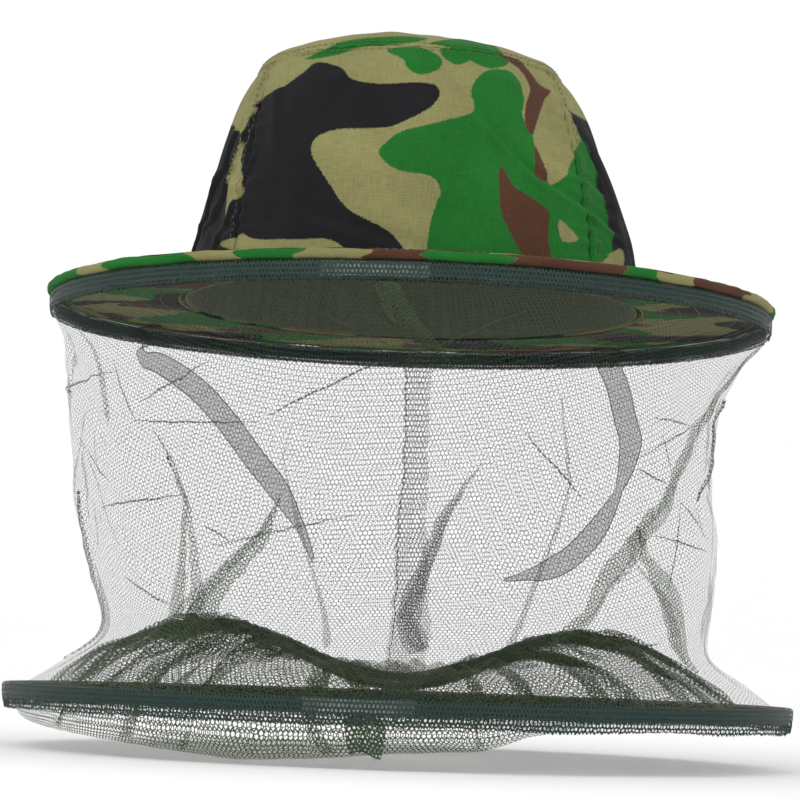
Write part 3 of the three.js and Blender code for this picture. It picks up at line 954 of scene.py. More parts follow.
net = hex_net("fine_net", (0.028, 0.037, 0.028), 0.095)
doubled_net = hex_net("doubled_net", (0.028, 0.04, 0.028), 0.13, 0.03)
folded_net = hex_net("folded_net", (0.034, 0.058, 0.02), 0.19, 0.13)
pressed_net = hex_net("pressed_net", (0.026, 0.04, 0.02), 0.38, 0.16)
collar_finish = hex_net("collar_net", (0.042, 0.066, 0.02), 0.175)
hem_net = hex_net("hem_net", (0.013, 0.032, 0.024), 0.4, 0.22)
gathered_net = hex_net("gathered_net", (0.026, 0.05, 0.018), 0.36, 0.3)

# %% [markdown]
# ## The veil
# The veil is a tube of net, wider than it needs to be. It hangs from the upper hoop, sags inwards and is
# spread again by the lower hoop. How far in it sags differs from side to side, so four profiles are blended
# round it. The spare width lies in folds: at a fold the cloth goes forward, back and forward again, which
# a hyperbolic tangent does in one smooth line.

# %% Veil shape
# radius and height in mm, from the upper hoop to the lower one
SAG = {
    "front": [(168, -9), (165, -30), (161, -60), (157, -90), (155, -118), (156, -143), (160, -160),
        (168, -173), (178.6, -184)],
    "back": [(168, -9), (160, -30), (156, -58), (155, -88), (152, -118), (152, -140), (156, -158),
        (167, -172), (178.6, -184)],
    "right": [(168, -9), (160, -28), (157, -55), (154, -85), (147, -115), (139, -146), (141, -160),
        (158, -172), (178.6, -184)],
    "left": [(168, -9), (154, -26), (144, -45), (145, -75), (148, -105), (146, -135), (145, -158),
        (160, -171), (178.6, -184)],
}
# each fold, from the top down: height in mm, turn from the front in degrees, and overlap in mm
FOLDS = {
    "gather": [(-13, 82, 2), (-19, 79, 4), (-36, 73, 4.5), (-52, 64, 5), (-58, 60, 6), (-71, 54, 8),
               (-93, 48, 9.5), (-108, 42, 9.5), (-118, 38, 10), (-132, 33, 8.5), (-142, 31, 6.5),
               (-150, 27, 5.5), (-157, 23, 4)],
    "gather_edge": [(-40, 79, 1), (-58, 72, 3), (-75, 66, 3), (-90, 60, 0.5)],
    "leaf": [(-104, 41, 1), (-110, 42, 3.5), (-122, 45, 8.5), (-137, 50, 14.5), (-152, 53, 13),
        (-165, 56, 6)],
    "blade": [(-80, -41, 0), (-96, -38, 2), (-103, -37, 3), (-118, -37, 4.5), (-132, -38, 6.5),
        (-142, -39, 8.5), (-160, -41, 15)],
    "broad": [(-98, -19, 0), (-108, -21, 4), (-117, -23, 7), (-125, -26, 8.5), (-134, -29, 10.5),
        (-142, -32, 13), (-160, -37, 15)],
    "bunch": [(-5, -5, 5), (-12, -3.5, 9), (-24, -1, 8), (-34, 3, 6), (-42, 6, 1)],
    "bunch_edge": [(-12, -22, 1), (-20, -17, 4), (-28, -12, 3.5), (-36, -4, 3)],
    "far_left": [(-10, -70, 2), (-30, -63, 4), (-50, -58, 3), (-66, -55, 0)],
    "nape": [(-20, 150, 2), (-70, 146, 4), (-120, 152, 5), (-165, 158, 8)],
    "nape_blade": [(-15, -160, 2), (-60, -156, 4), (-120, -162, 6), (-160, -165, 9)],
    "nape_leaf": [(-60, 165, 0), (-90, 172, 6), (-140, 178, 11), (-160, 176, 12)],
    "temple": [(-90, -95, 0), (-120, -88, 6), (-150, -82, 9), (-168, -80, 11)],
}
# in mm: how soft a fold is, and half the height over which it comes and goes
FOLD_SOFTNESS, FOLD_FADE = 3.3, 4
VEIL_COLUMNS, VEIL_ROWS = 1200, 110
# radii that turn an angle into a length of net: for the whole veil, and for the hollow where it sags
VEIL_MEAN, SAG_MEAN = 0.165, 0.155
# length of net from hoop to hoop
VEIL_DROP = 0.186
VEIL_WRINKLES = 110
# how steeply the rows of the net run at the two sides, where it hangs askew
NET_SLANT = 0.42


def veil_wrinkles(turn, z):
    """Small sharp creases, seeded, that run down and aside."""
    chance = np.random.default_rng(91)
    total = np.zeros(turn.shape)
    for _ in range(VEIL_WRINKLES):
        at, high = chance.uniform(-math.pi, math.pi), chance.uniform(-0.165, -0.02)
        slant, length = chance.uniform(-1.2, 1.2), chance.uniform(0.018, 0.055)
        width, depth = chance.uniform(2.2, 3.6) * MM, chance.uniform(0.8, 2.2) * MM
        across = angle_past(turn, at) * SAG_MEAN
        along = across * math.sin(slant) + (z - high) * math.cos(slant)
        off = across * math.cos(slant) - (z - high) * math.sin(slant)
        total += depth * np.exp(-(off / width) ** 2 - (along / (length / 2)) ** 2)
    return total


def fold_place(path, turn, z):
    """For one fold: how far each place is from its middle, in units of its softness, its overlap in mm, and
    how much of it there is at that height."""
    heights, turns, overlaps = np.array(path[::-1], float).T
    centre = np.radians(np.interp(z / MM, heights, turns))
    begun, ended = (smooth(end - FOLD_FADE, end + FOLD_FADE, z / MM) for end in (heights[0], heights[-1]))
    present = begun * (1 - ended)
    off = angle_past(turn, centre) * VEIL_MEAN / MM / FOLD_SOFTNESS
    return off, np.interp(z / MM, heights, overlaps), present


def veil_points(turn, share):
    """Points of the veil. turn is the place along the cloth, measured as an angle from the front."""
    radius, z = veil_line(turn, share)
    free = veil_freedom(share)
    place = turn.copy()
    for path in FOLDS.values():
        off, overlap, present = fold_place(path, turn, z)
        spare = present * free * (0.6 * FOLD_SOFTNESS + 0.8 * overlap)
        window = 1 - smooth(2.5, 24, np.abs(off))
        place = place - spare * np.tanh(off) * window * MM / VEIL_MEAN
        radius = radius + present * free * 1.2 * MM * off * np.exp(0.5 - off ** 2 / 2)
    return around(radius, FRONT + place, z)


def veil_freedom(share):
    """How freely the net hangs: not at all where the two hoops hold it."""
    return smooth(0, 0.12, share) * (1 - smooth(0.86, 1, share))


def veil_line(turn, share):
    """Radius and height of the veil without its folds."""
    front, aside = np.cos(turn), np.sin(turn)
    part = {"front": np.maximum(front, 0) ** 2, "back": np.maximum(-front, 0) ** 2,
            "left": np.maximum(aside, 0) ** 2, "right": np.maximum(-aside, 0) ** 2}
    line = sum(part[side][..., None] * spline(SAG[side], share) for side in SAG) * MM
    radius, z = line[..., 0], line[..., 1]
    free = veil_freedom(share)
    radius = radius + free * (4 * MM * drift(turn * VEIL_MEAN, z, 0.055, 92)
                              + 2.2 * MM * drift(turn * VEIL_MEAN + z * 0.6, z * 0.5, 0.024, 93))
    return radius - free * veil_wrinkles(turn, z), z


# %% [markdown]
# The veil is fixed at the brim and at the lower hoop. When the hoop is lifted the net in between gathers up;
# here it hangs at its full length.

# %% Veil
turns = np.linspace(-math.pi, math.pi, VEIL_COLUMNS, endpoint=False)
turn, share = np.meshgrid(turns, np.linspace(0, 1, VEIL_ROWS))
points = veil_points(turn, share)
flat = flat_places(VEIL_ROWS, VEIL_COLUMNS, VEIL_DROP, TURN * VEIL_MEAN, closed=True)
slant = (flat[..., 0] / VEIL_MEAN) - math.pi
flat[..., 1] += NET_SLANT * VEIL_MEAN * (0.06 * np.sin(3 * slant) - np.cos(slant))
veil = cloth_grid("veil_net_cloth", points, flat, closed=True)
fit(veil, net, "hat", "netting", "veil_net")

# the heights between which the veil hangs, and how far apart they are
VEIL_TOP, VEIL_END = -9 * MM, -0.184
VEIL_HEIGHT = 0.175


def gather_up(piece):
    """Gives a piece a mesh of its own."""
    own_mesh(piece)


gather_up(veil)

# %% [markdown]
# The spare net doesn't just overlap: at the deepest folds it lies doubled, in narrow bands with sharp edges.
# Such a band follows the veil a little outside it, its middle further out than its edges. The net was
# also packed flat for a long time, so it keeps thin press lines, where the threads lie close together. The
# lines are laid on in the same way.

# %% Bands and press lines
DOUBLED = ("gather", "gather_edge", "leaf", "blade", "broad", "bunch", "temple", "nape_leaf")
BAND_ROWS, BAND_COLUMNS = 80, 9
# turn in degrees and height in mm at both ends of each line
PRESS_LINES = [(-86, -46, -55, -43), (-61, -102, -38, -98), (-56, -132, -41, -145), (-67, -76, -56, -91),
               (-55, -38, -48, -65), (-47, -58, -31, -43), (-21, -65, -3, -41), (-33, -111, -28, -118),
               (18, -69, 29, -95), (54, -91, 65, -106), (46, -108, 65, -112), (44, -57, 57, -57),
               (46, -64, 50, -80), (40, -80, 48, -85), (37, -157, 48, -154), (-15, -20, -3, -36),
               (1, -39, 17, -18), (-44, -70, -39, -87), (-65, -67, -60, -86), (100, -40, 128, -60),
               (-120, -50, -150, -44), (-170, -90, -140, -110), (-100, -70, -112, -120),
               (112, -85, 118, -130)]


def on_veil(turn, height, away):
    """Places on the veil at a turn from the front and a height, a little away from its face."""
    share = (VEIL_TOP - height) / VEIL_HEIGHT
    for _ in range(5):
        radius, z = veil_line(turn, share)
        share = np.clip(share + (z - height) / VEIL_HEIGHT, 0, 1)
    return around(radius + away, FRONT + turn, height)


def laid_band(path, mean_radius, waver, seed, columns=BAND_COLUMNS):
    """Turns, heights and flat places of a band. Its path gives height in mm, turn in degrees, width in mm."""
    share = np.linspace(0, 1, BAND_ROWS)
    down, turn, width = spline(path, share).T
    line = np.stack([np.radians(turn) * mean_radius, down * MM], -1)
    ahead = np.gradient(line, axis=0)
    ahead /= np.linalg.norm(ahead, axis=1, keepdims=True) + 1e-9
    aside = np.stack([-ahead[:, 1], ahead[:, 0]], -1)
    run = np.cumsum(np.linalg.norm(np.gradient(line, axis=0), axis=1))
    across = np.linspace(-0.5, 0.5, columns)
    width = np.maximum(width * (1 + 0.25 * drift(run, 0 * run + seed, 0.011, 141)), 0.4) * MM
    line = line + aside * (waver * MM * drift(run, 0 * run + seed, 0.009, 142))[:, None]
    place = line[:, None] + aside[:, None] * (across * width[:, None])[..., None]
    flat = np.stack([across[None] * width[:, None] * 1.5 + seed, run[:, None] + 0 * across[None]], -1)
    return place[..., 0] / mean_radius, place[..., 1], flat


arch = np.cos(np.linspace(-0.5, 0.5, BAND_COLUMNS) * math.pi)
bands = [laid_band(FOLDS[name], SAG_MEAN, 0.9, number) for number, name in enumerate(DOUBLED)]
turns, heights, flats = (np.array(part) for part in zip(*bands))
heights = np.clip(heights, -182 * MM, -10 * MM)
rippled = 0.5 * drift(turns * SAG_MEAN, heights, 0.008, 143)
band_points = on_veil(turns, heights, (0.9 + (1.5 + rippled) * arch) * MM)
veil_bands = cloth_bands("veil_fold_bands", band_points, flats)
fit(veil_bands, folded_net, "hat", "netting")

lines = []
for number, (turn_a, high_a, turn_b, high_b) in enumerate(PRESS_LINES):
    path = []
    for f in np.linspace(0, 1, 5):
        width = 0.25 + 0.65 * math.sin(math.pi * f) ** 0.5
        path.append((high_a + (high_b - high_a) * f, turn_a + (turn_b - turn_a) * f, width))
    lines.append(laid_band(path, SAG_MEAN, 0.6, number + 50, 3))
turns, heights, flats = (np.array(part) for part in zip(*lines))
press_lines = cloth_bands("veil_press_lines", on_veil(turns, heights, 0.5 * MM), flats)
fit(press_lines, pressed_net, "hat", "netting")
gather_up(veil_bands)
gather_up(press_lines)
print("bands of doubled net:", len(bands), "press lines:", len(lines))

# %% [markdown]
# The veil's two ends meet a little to one side of the front. They are lapped and sewn, so a darker strip
# runs down the front with a line of thread along one edge.

# %% Front seam
# share of the way down, then the strip's two edges in mm from the middle
SEAM_EDGES = [(0.03, -15, 6), (0.1, -9, 8), (0.2, -2, 10), (0.35, -1.5, 9.5), (0.5, -3, 11), (0.62, -4, 13),
              (0.72, -5, 13), (0.82, -6, 11), (0.9, -9, 8), (0.96, -13, 9)]
down = np.linspace(SEAM_EDGES[0][0], SEAM_EDGES[-1][0], 90)
stops, near, far = np.array(SEAM_EDGES).T
near = np.interp(down, stops, near) + 1.0 * drift(down, 0 * down, 0.035, 95)
far = np.interp(down, stops, far) + 1.3 * drift(down, 0 * down + 0.5, 0.03, 96)
sideways = np.linspace(0, 1, 24)
place = (near[:, None] + (far - near)[:, None] * sideways) * MM / VEIL_MEAN
seam_share = np.repeat(down[:, None], 24, 1)
ripple = 1.3 * MM * np.sin(sideways * 9 + 6 * down[:, None]) + 2.6 * MM
points = veil_points(place, seam_share)
outward = np.stack([np.sin(place), -np.cos(place), 0 * place], -1)
points = points - outward * ripple[..., None]
flat = np.stack([(place * VEIL_MEAN) * 1.3 + 0.0007, seam_share * VEIL_DROP + 0.0004], -1)
seam_strip = cloth_grid("front_seam_net", points, flat)
fit(seam_strip, doubled_net, "hat", "netting", "veil_seam_strip")
gather_up(seam_strip)

seam_line = points[:, 2] + 0.2 * MM * outward[:, 2]
seam_thread = stitch_row("front_seam_stitches", [seam_line], [outward[:, 2]], dark_thread, "hat", "net_hem",
                         length=2.2 * MM, gap=0.4 * MM, width=0.5 * MM)
gather_up(seam_thread)

# %% [markdown]
# ## Hems round the hoops
# At both ends the net is folded round the plastic strip and sewn, so each hoop lies in a tunnel of doubled
# net. The strip shines through. Below the lower hoop the cut edge of the net hangs down a little.

# %% Hems
# place across the strip and height from its middle, in mm: outside leg, round the strip, inside leg
TUNNEL = [(0.6, -4.4), (1.6, -3.2), (1.9, -1.5), (1.95, 0.5), (1.9, 2.6), (1.3, 3.7), (0, 4.1),
          (-1.3, 3.7), (-1.9, 2.6), (-1.95, 0.5), (-1.9, -1.5), (-1.6, -3.2), (-0.6, -4.6)]
# the lower tunnel is drawn tighter, and its cut edge hangs down
LOWER_TUNNEL = [(0.2, -7.6), (0.5, -6.3), (0.9, -5.0)] + [(out, up * 0.86) for out, up in TUNNEL[1:]]
# hoop, its body, radius and height, then the hem's section and the width of net that it takes
HEMS = [("upper", "hat", UPPER_RADIUS, UPPER_Z, TUNNEL, 0.02),
        ("lower", "lower_ring", LOWER_RADIUS, LOWER_Z, LOWER_TUNNEL, 0.025)]
for hoop, body, radius, z, tunnel, width in HEMS:
    angle, share = ring_places(900, 26)
    across, height = np.moveaxis(spline(tunnel, share), -1, 0) * MM
    arc = angle * radius
    tucks = 0.6 * np.sin(angle * 310 + 5 * drift(arc, 0 * angle, 0.03, 102))
    gather = drift(arc, share * 0.02, 0.0045, 101) + tucks
    loose = smooth(2.2, 4.4, -height / MM)
    across = across + (0.12 + 0.5 * loose) * MM * gather
    hanging = smooth(6, 9, -height / MM) * 2.5 * MM * drift(arc, 0 * angle, 0.05, 103)
    height = height - loose * 0.7 * MM * np.abs(gather) + hanging
    points = around(radius - 0.6 * MM + across, angle, z + height)
    hem = cloth_ring(f"{hoop}_hem_net", points, 0.019, TURN * radius * 1.12)
    fit(hem, hem_net, body, "net_hem", f"{hoop}_net_channel")

# %% [markdown]
# ## The collar
# From the lower hoop the net turns inwards and up to the neck, where an elastic gathers it to half its
# width. The gathers run outwards from the neck as pleats and die away before the hoop. At the front the
# neck hangs lower, and the slack net sags below the hoop.

# %% Collar
COLLAR_LINE = [(81, -151), (90, -151.3), (100, -152.5), (118, -158), (139, -169), (155, -180.5),
               (166, -186.5), (173, -187.5), (178.5, -186.5)]
COLLAR_COLUMNS, COLLAR_ROWS = 1080, 80
# length of net from the neck to the hoop, and the mean radius of the collar and of its folds
COLLAR_WIDTH, COLLAR_MEAN, COLLAR_FOLD_MEAN = 0.125, 0.13, 0.12
CHIN_DROP, NAPE_DROP = 25 * MM, 22 * MM
# turn from the front in degrees, and how far the net hangs below the hoop there, in mm
BELLY = [(-180, 2), (-120, 2), (-100, 5), (-75, 10), (-45, 15), (-22, 20), (-10, 18), (0, 15), (12, 13),
         (18, 7), (28, 1), (60, 0), (120, 1), (180, 2)]


def neck_drop(angle, radius):
    """How much lower the neck end hangs under the chin and between the shoulders."""
    drop = np.where(np.sin(angle) < 0, CHIN_DROP, NAPE_DROP)
    return drop * np.sin(angle) ** 4 * (1 - smooth(80 * MM, 150 * MM, radius))


# turn from the front in degrees at the neck and at the hoop, and overlap in mm
COLLAR_FOLDS = [(-66, -60, 9), (-50, -40, 8), (-34, -31, 5), (-17, -10, 7), (14, 9, 6), (33, 45, 8),
                (52, 70, 11), (74, 96, 8), (-88, -98, 8), (-112, -120, 8), (-140, -132, 7),
                (-168, -175, 7), (160, 150, 7), (134, 142, 8), (108, 118, 7)]


def collar_fold(angle, share):
    """Moves the net along itself into folds, and in and out, so that the layers of a fold lie apart."""
    turn = angle_past(angle, FRONT)
    moved, lift = np.zeros_like(angle), np.zeros_like(angle)
    soft = 2.6
    fade = smooth(0, 0.05, share) * (1 - smooth(0.62, 0.9, share))
    for at_neck, at_hoop, overlap in COLLAR_FOLDS:
        bend = 2.5 * drift(share * 0.1, 0 * share + at_neck, 0.03, 115)
        centre = np.radians(at_neck + (at_hoop - at_neck) * share + bend)
        off = angle_past(turn, centre) * COLLAR_FOLD_MEAN / MM / soft
        window = 1 - smooth(2.5, 9, np.abs(off))
        spare = 0.6 * soft + 1.15 * overlap * (1 - 0.35 * share)
        moved = moved - fade * spare * np.tanh(off) * window * MM / COLLAR_FOLD_MEAN
        lift = lift + fade * 1.3 * MM * off * np.exp(0.5 - off ** 2 / 2)
    return angle + moved, lift


def collar_points(cloth, share):
    """Points of the collar. cloth is the place along the net as an angle, before it is folded."""
    angle, lift = collar_fold(cloth, share)
    radius, z = np.moveaxis(spline(COLLAR_LINE, share), -1, 0) * MM
    turn = np.degrees(angle_past(angle, FRONT))
    belly = np.interp(turn, *np.array(BELLY, float).T) * MM
    z = z - neck_drop(angle, radius)
    z = z - belly * np.exp(-((share - 0.86) / 0.12) ** 2) * (1 - smooth(0.93, 1, share))
    arc = cloth * COLLAR_MEAN
    fine = 3 * drift(arc, 0 * arc, 0.03, 111)
    pleat = np.sin(cloth * 64 + fine) + 0.6 * drift(arc * 2, share * 0.03, 0.009, 112)
    deep = 3.0 * MM * (1 - smooth(0.02, 0.62, share)) + 0.5 * MM * (1 - smooth(0.6, 1, share))
    held = 1 - smooth(0.7, 0.85, share)
    slack = 3.4 * MM * drift(arc, share * 0.12, 0.032, 113) * smooth(0, 0.2, share) * held
    wrinkle = 1.8 * MM * drift(arc * 1.6, share * 0.1, 0.012, 114) * smooth(0, 0.3, share) * held
    shoulder = 5.5 * MM * np.exp(-((turn + 86) / 36) ** 2 - ((share - 0.55) / 0.22) ** 2)
    z = z + pleat * deep * 0.7 + slack + wrinkle + lift + shoulder
    radius = radius + pleat * deep * 0.3 * smooth(0, 0.1, share)
    return around(radius, angle, z)


points = collar_points(*ring_places(COLLAR_COLUMNS, COLLAR_ROWS))
collar = cloth_ring("collar_net_cloth", points, COLLAR_WIDTH, TURN * VEIL_MEAN)
fit(collar, collar_finish, "lower_ring", "netting", "collar_net")


def lie_down(piece):
    """Gives a piece a mesh of its own."""
    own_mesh(piece)


lie_down(collar)

# %% [markdown]
# The collar's deepest folds are doubled bands as well. They follow the collar cloth.

# %% Collar bands
# in mm, straight across from the neck to the hoop
COLLAR_DEPTH = 105
bands = []
for number, (at_neck, at_hoop, overlap) in enumerate(COLLAR_FOLDS):
    path = []
    for f in np.linspace(0.05, 0.84, 6):
        turn = at_neck + (at_hoop - at_neck) * f + 2.5 * math.sin(7 * f + at_neck)
        path.append((COLLAR_DEPTH * f, turn, overlap * (1.25 - 0.7 * f)))
    bands.append(laid_band(path, COLLAR_MEAN, 0.8, number + 20))
turns, depths, flats = (np.array(part) for part in zip(*bands))
band_points = collar_points(FRONT + turns, np.clip(depths / (COLLAR_DEPTH * MM), 0.02, 0.9))
band_points[..., 2] += (0.5 + 1.0 * arch) * MM
collar_bands = cloth_bands("collar_fold_bands", band_points, flats)
fit(collar_bands, folded_net, "lower_ring", "netting")
lie_down(collar_bands)

# %% [markdown]
# Where the collar's own ends are sewn together, the spare net hangs below the hoop as a small double flap.

# %% Seam flap
down, sideways = np.meshgrid(np.linspace(0, 1, 14), np.linspace(0, 1, 16), indexing="ij")
x = (-21.5 + 3 * down ** 2 + (17.5 - 5 * down ** 2) * sideways) * MM
rippled = 0.9 * MM * np.sin(sideways * 8 + down * 3)
y = -np.sqrt((LOWER_RADIUS + (0.6 - 5 * down) * MM) ** 2 - x ** 2) + rippled
flap_points = np.stack([x, y, (-187 - 16.5 * down + 1.4 * np.sin(sideways * 5)) * MM], -1)
flap = cloth_grid("collar_seam_flap", flap_points, flat_places(14, 16, 0.0165, 0.0175))
fit(flap, gathered_net, "lower_ring", "net_hem")

# %% [markdown]
# The neck end of the collar is folded into a small tunnel for the elastic and bunches up round it.

# %% Neck tunnel and elastic
NECK_RADIUS, NECK_Z = 80 * MM, -151 * MM


def neck_tube(angle, round_, girth, tall=1.0):
    """Points of a tube round the neck opening. tall stretches its section upwards."""
    reach = NECK_RADIUS + girth * np.cos(round_)
    height = NECK_Z - neck_drop(angle, NECK_RADIUS + 0 * angle) + tall * girth * np.sin(round_)
    return around(reach, angle, height)


angle, round_ = ring_places(900, 15, 0, TURN)
arc = angle * NECK_RADIUS
bunch = np.sin(angle * 70 + 7 * drift(arc, 0 * angle, 0.02, 121)) * drift(arc, 0 * angle, 0.011, 123)
bunch = bunch + 0.6 * drift(arc, round_ * 0.003, 0.004, 122) + 0.9 * drift(arc, 0 * angle, 0.03, 124)
girth = (1.85 + 0.6 * np.clip(bunch, -1, 1.6)) * MM
casing = cloth_ring("neck_hem_net", neck_tube(angle, round_, girth, 1.2), 0.0122, 0.9)
fit(casing, gathered_net, "lower_ring", "net_hem", "neck_casing")
lie_down(casing)


def braided(name, tint):
    material, tree, shader = finish(name, 0.75)
    flat = node(tree, "ShaderNodeUVMap", uv_map="Flat").outputs[0]

    def strands(slope):
        place = vector_calc(tree, "MULTIPLY", flat, (900.0, slope, 1.0))
        wave = {"Vector": place, "Scale": 0.4, "Distortion": 0.6}
        return node(tree, "ShaderNodeTexWave", wave, bands_direction="DIAGONAL").outputs[1]

    over = calc(tree, "MAXIMUM", strands(900.0), strands(-900.0))
    dye(tree, shader, over, tint, 0.4, 1.2)
    emboss(tree, shader, over, 0.7, 0.0003)
    return material


ELASTIC_GIRTH = 1.3 * MM
points = neck_tube(*ring_places(360, 11, 0, TURN), ELASTIC_GIRTH)
elastic = cloth_ring("neck_elastic_cord", points, 0.008, 0.5)
fit(elastic, braided("braided_elastic", (0.05, 0.07, 0.055)), "lower_ring", "elastic", "neck_elastic")
lie_down(elastic)

# %% [markdown]
# ## Ties
# Two flat tapes of thin dark cloth hang from patches under the back of the brim and tie under the chin.
# Each follows a route in the frame. A tape has a free way to twist, so its width direction turns
# slowly along the route.

# %% Ties
TIE_WIDTH = 11.5 * MM
# for each side: the route in mm, then by share of the length how far the tape is twisted, in degrees
TIE_ROUTES = {
    "right": ([(-130, 94, -3.7), (-130.6, 93.2, -8), (-134.5, 85, -13), (-133, 80, -18.5),
               (-123.8, 84.7, -20.9), (-107.1, 98, -31.2), (-92.1, 109, -46.1), (-77.4, 115, -64.6),
               (-64.2, 119, -80.3), (-52.2, 119, -99.5), (-44.9, 117, -115.8)],
              [(0, 80), (0.24, 74), (0.42, 22), (0.55, 0), (0.76, 0), (0.88, 62), (1, 84)]),
    "left": ([(102.6, 123.4, -3.7), (103, 122.4, -8.5), (107.4, 110.4, -21.5), (111.4, 101.9, -39.9),
              (113.6, 95.5, -53), (108.3, 96.5, -75.7), (98.3, 101, -95.1), (86.4, 105, -109),
              (75.2, 108, -115.9), (64.2, 111, -119.3), (52.6, 113, -122.2)],
             [(0, 10), (0.36, 0), (0.5, 76), (0.62, 20), (0.76, 12), (0.9, 62), (1, 86)]),
}
TIE_ROWS = 140


def sheer_tape(name):
    material, tree, shader = finish(name, 0.7)
    flat = node(tree, "ShaderNodeUVMap", uv_map="Flat").outputs[0]
    across = node(tree, "ShaderNodeSeparateXYZ", {0: flat}).outputs[1]
    from_middle = calc(tree, "ABSOLUTE", calc(tree, "SUBTRACT", across, TIE_WIDTH / 2))
    selvage = remap(tree, from_middle, 0.0, 1.0, TIE_WIDTH * 0.455, TIE_WIDTH * 0.475)
    weft = stretched_noise(tree, 1800.0, 90.0)
    veiled = calc(tree, "MULTIPLY_ADD", weft, 0.24, 0.16)
    tree.links.new(calc(tree, "MAXIMUM", selvage, veiled), shader.inputs["Alpha"])
    shade = calc(tree, "MULTIPLY_ADD", weft, 0.6, 0.2)
    dyed = mix_colour(tree, shade, (0.018, 0.022, 0.018, 1), (0.06, 0.068, 0.055, 1))
    tree.links.new(dyed, shader.inputs["Base Color"])
    emboss(tree, shader, weft, 0.4, 0.0002)
    return material


tape = sheer_tape("sheer_tape")
for side, (route, twists) in TIE_ROUTES.items():
    path = spline(np.array(route) * MM, np.linspace(0, 1, TIE_ROWS))
    length = np.linalg.norm(np.diff(path, axis=0), axis=1).sum()
    ahead = np.gradient(path, axis=0)
    ahead /= np.linalg.norm(ahead, axis=1, keepdims=True)
    flatwise = np.cross(ahead, (0.0, 1.0, 0.0))
    flatwise /= np.linalg.norm(flatwise, axis=1, keepdims=True)
    edgewise = np.cross(ahead, flatwise)
    twist = np.radians(np.interp(np.linspace(0, 1, TIE_ROWS), *np.array(twists).T))[:, None]
    width_way = flatwise * np.cos(twist) + edgewise * np.sin(twist)
    bulge_way = np.cross(ahead, width_way)
    across = np.linspace(-0.5, 0.5, 9)
    points = path[:, None] + width_way[:, None] * (across * TIE_WIDTH)[None, :, None]
    points = points + bulge_way[:, None] * (0.9 * MM * (0.25 - across ** 2) * 4)[None, :, None]
    points[..., 2] = np.minimum(points[..., 2], -2.6 * MM)
    along, place = np.meshgrid(np.linspace(0, length, TIE_ROWS), (across + 0.5) * TIE_WIDTH, indexing="ij")
    tie = cloth_grid(f"tie_{side}_tape", points, np.stack([along, place], -1))
    thicken(tie, 0.25 * MM, 0.0)
    fit(tie, tape, "hat", "sheer_tape", f"tie_{side}")
    gather_up(tie)
    print(side, "tie", round(float(length), 4))

    low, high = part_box(f"tie_anchor_{side}")
    middle = (low + high) / 2
    x, y = np.meshgrid(np.linspace(-6, 6, 25) * MM, np.linspace(-4, 4, 17) * MM)
    turn = math.atan2(middle.y, middle.x) + math.pi / 2
    puff = 0.35 * MM * np.cos(x / (6 * MM) * math.pi / 2) * np.cos(y / (4 * MM) * math.pi / 2)
    patch_x = middle.x + x * math.cos(turn) - y * math.sin(turn)
    patch_y = middle.y + x * math.sin(turn) + y * math.cos(turn)
    patch_points = np.stack([patch_x, patch_y, high.z - 0.2 * MM - puff], -1)
    patch = cloth_grid(f"tie_patch_{side}", patch_points, np.stack([x, y], -1))
    thicken(patch, 0.9 * MM, -1.0)
    fit(patch, woven_tape(f"patch_tape_{side}", (0.045, 0.05, 0.04)), "hat", "net_hem", f"tie_anchor_{side}")
    box_lines = [patch_points[2, 2:-2], patch_points[-3, 2:-2], patch_points[2:-2, 2], patch_points[2:-2, -3]]
    down_way = [np.tile((0.0, 0.0, -1.0), (len(line), 1)) for line in box_lines]
    box_lines = [line - np.array((0, 0, 1.0 * MM)) for line in box_lines]
    stitch_row(f"tie_patch_stitches_{side}", box_lines, down_way, olive_thread, "hat", "net_hem",
               length=1.5 * MM, gap=0.4 * MM)

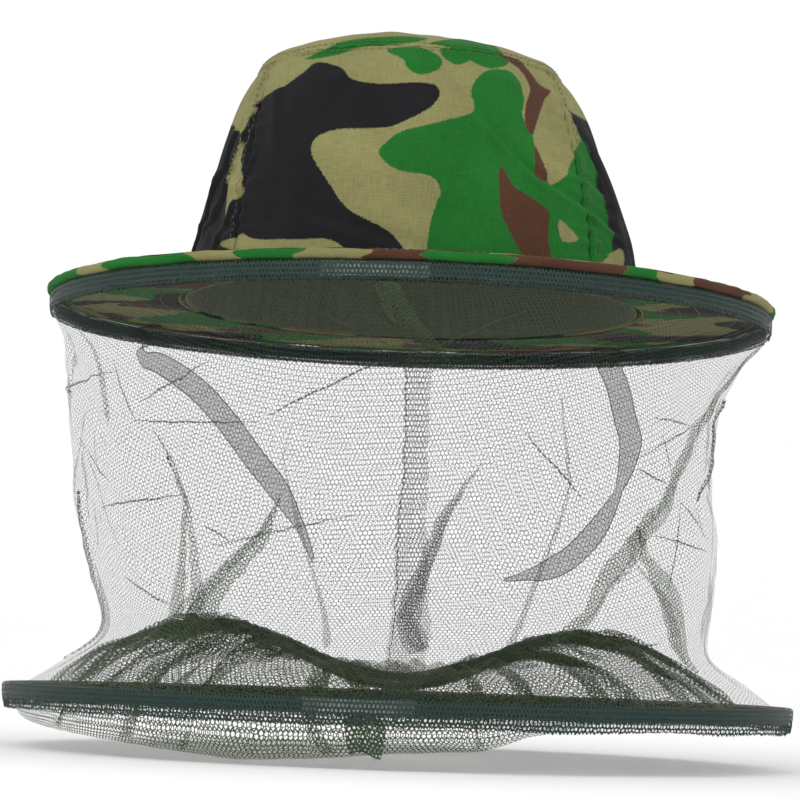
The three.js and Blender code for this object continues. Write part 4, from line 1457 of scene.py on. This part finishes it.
# %% [markdown]
# ## Floor and light
# A white room: a pale floor that curves up into a pale wall, an even white sky and two large soft lamps. The
# key lamp is high on the left, so the crown is a little darker on its right.

# %% Floor and backdrop
FLOOR_Z = -0.2095
sweep = [(-1.6, 0), (1.5, 0), (2.1, 0.06), (2.5, 0.3), (2.7, 0.8), (2.75, 3.0)]
line = spline(sweep, np.linspace(0, 1, 60))
x = np.linspace(-3, 3, 3)
floor = np.maximum(line[:, 1:], 0).repeat(3, 1) + FLOOR_Z
points = np.stack([np.tile(x, (60, 1)), np.repeat(line[:, :1], 3, 1), floor], -1)
backdrop = cloth_grid("backdrop", points, flat_places(60, 3, 6, 6))
paper, tree, shader = finish("pale_paper", 0.9)
place = node(tree, "ShaderNodeTexCoord").outputs["Object"]
mottle = node(tree, "ShaderNodeTexNoise", {"Vector": place, "Scale": 40.0, "Detail": 4.0}).outputs[0]
dye(tree, shader, mottle, (1, 1, 1), 0.93, 0.96)
backdrop.data.materials.append(paper)

# %% Lamps and sky
world = bpy.data.worlds.new("white_room")
bpy.context.scene.world = world
world.use_nodes = True
world.node_tree.nodes["Background"].inputs["Color"].default_value = (1, 1, 1, 1)
world.node_tree.nodes["Background"].inputs["Strength"].default_value = 1.0


def soft_lamp(name, place, aim_at, size, watts):
    lamp_data = bpy.data.lights.new(name, "AREA")
    lamp_data.size = size
    lamp_data.energy = watts
    lamp = bpy.data.objects.new(name, lamp_data)
    bpy.context.scene.collection.objects.link(lamp)
    lamp.location = place
    lamp.rotation_euler = (Vector(aim_at) - Vector(place)).to_track_quat("-Z", "Y").to_euler()
    return lamp


soft_lamp("key_lamp", (-1.1, -1.9, 1.5), (0, 0, 0), 1.4, 16)
soft_lamp("fill_lamp", (1.6, -1.5, 0.5), (0, 0, -0.05), 1.6, 3)
bpy.context.scene.view_settings.view_transform = "Standard"

# %% [markdown]
# The finished pieces may stand a little proud of the frame, as cloth does.

# %% Final update
bpy.context.view_layer.update()
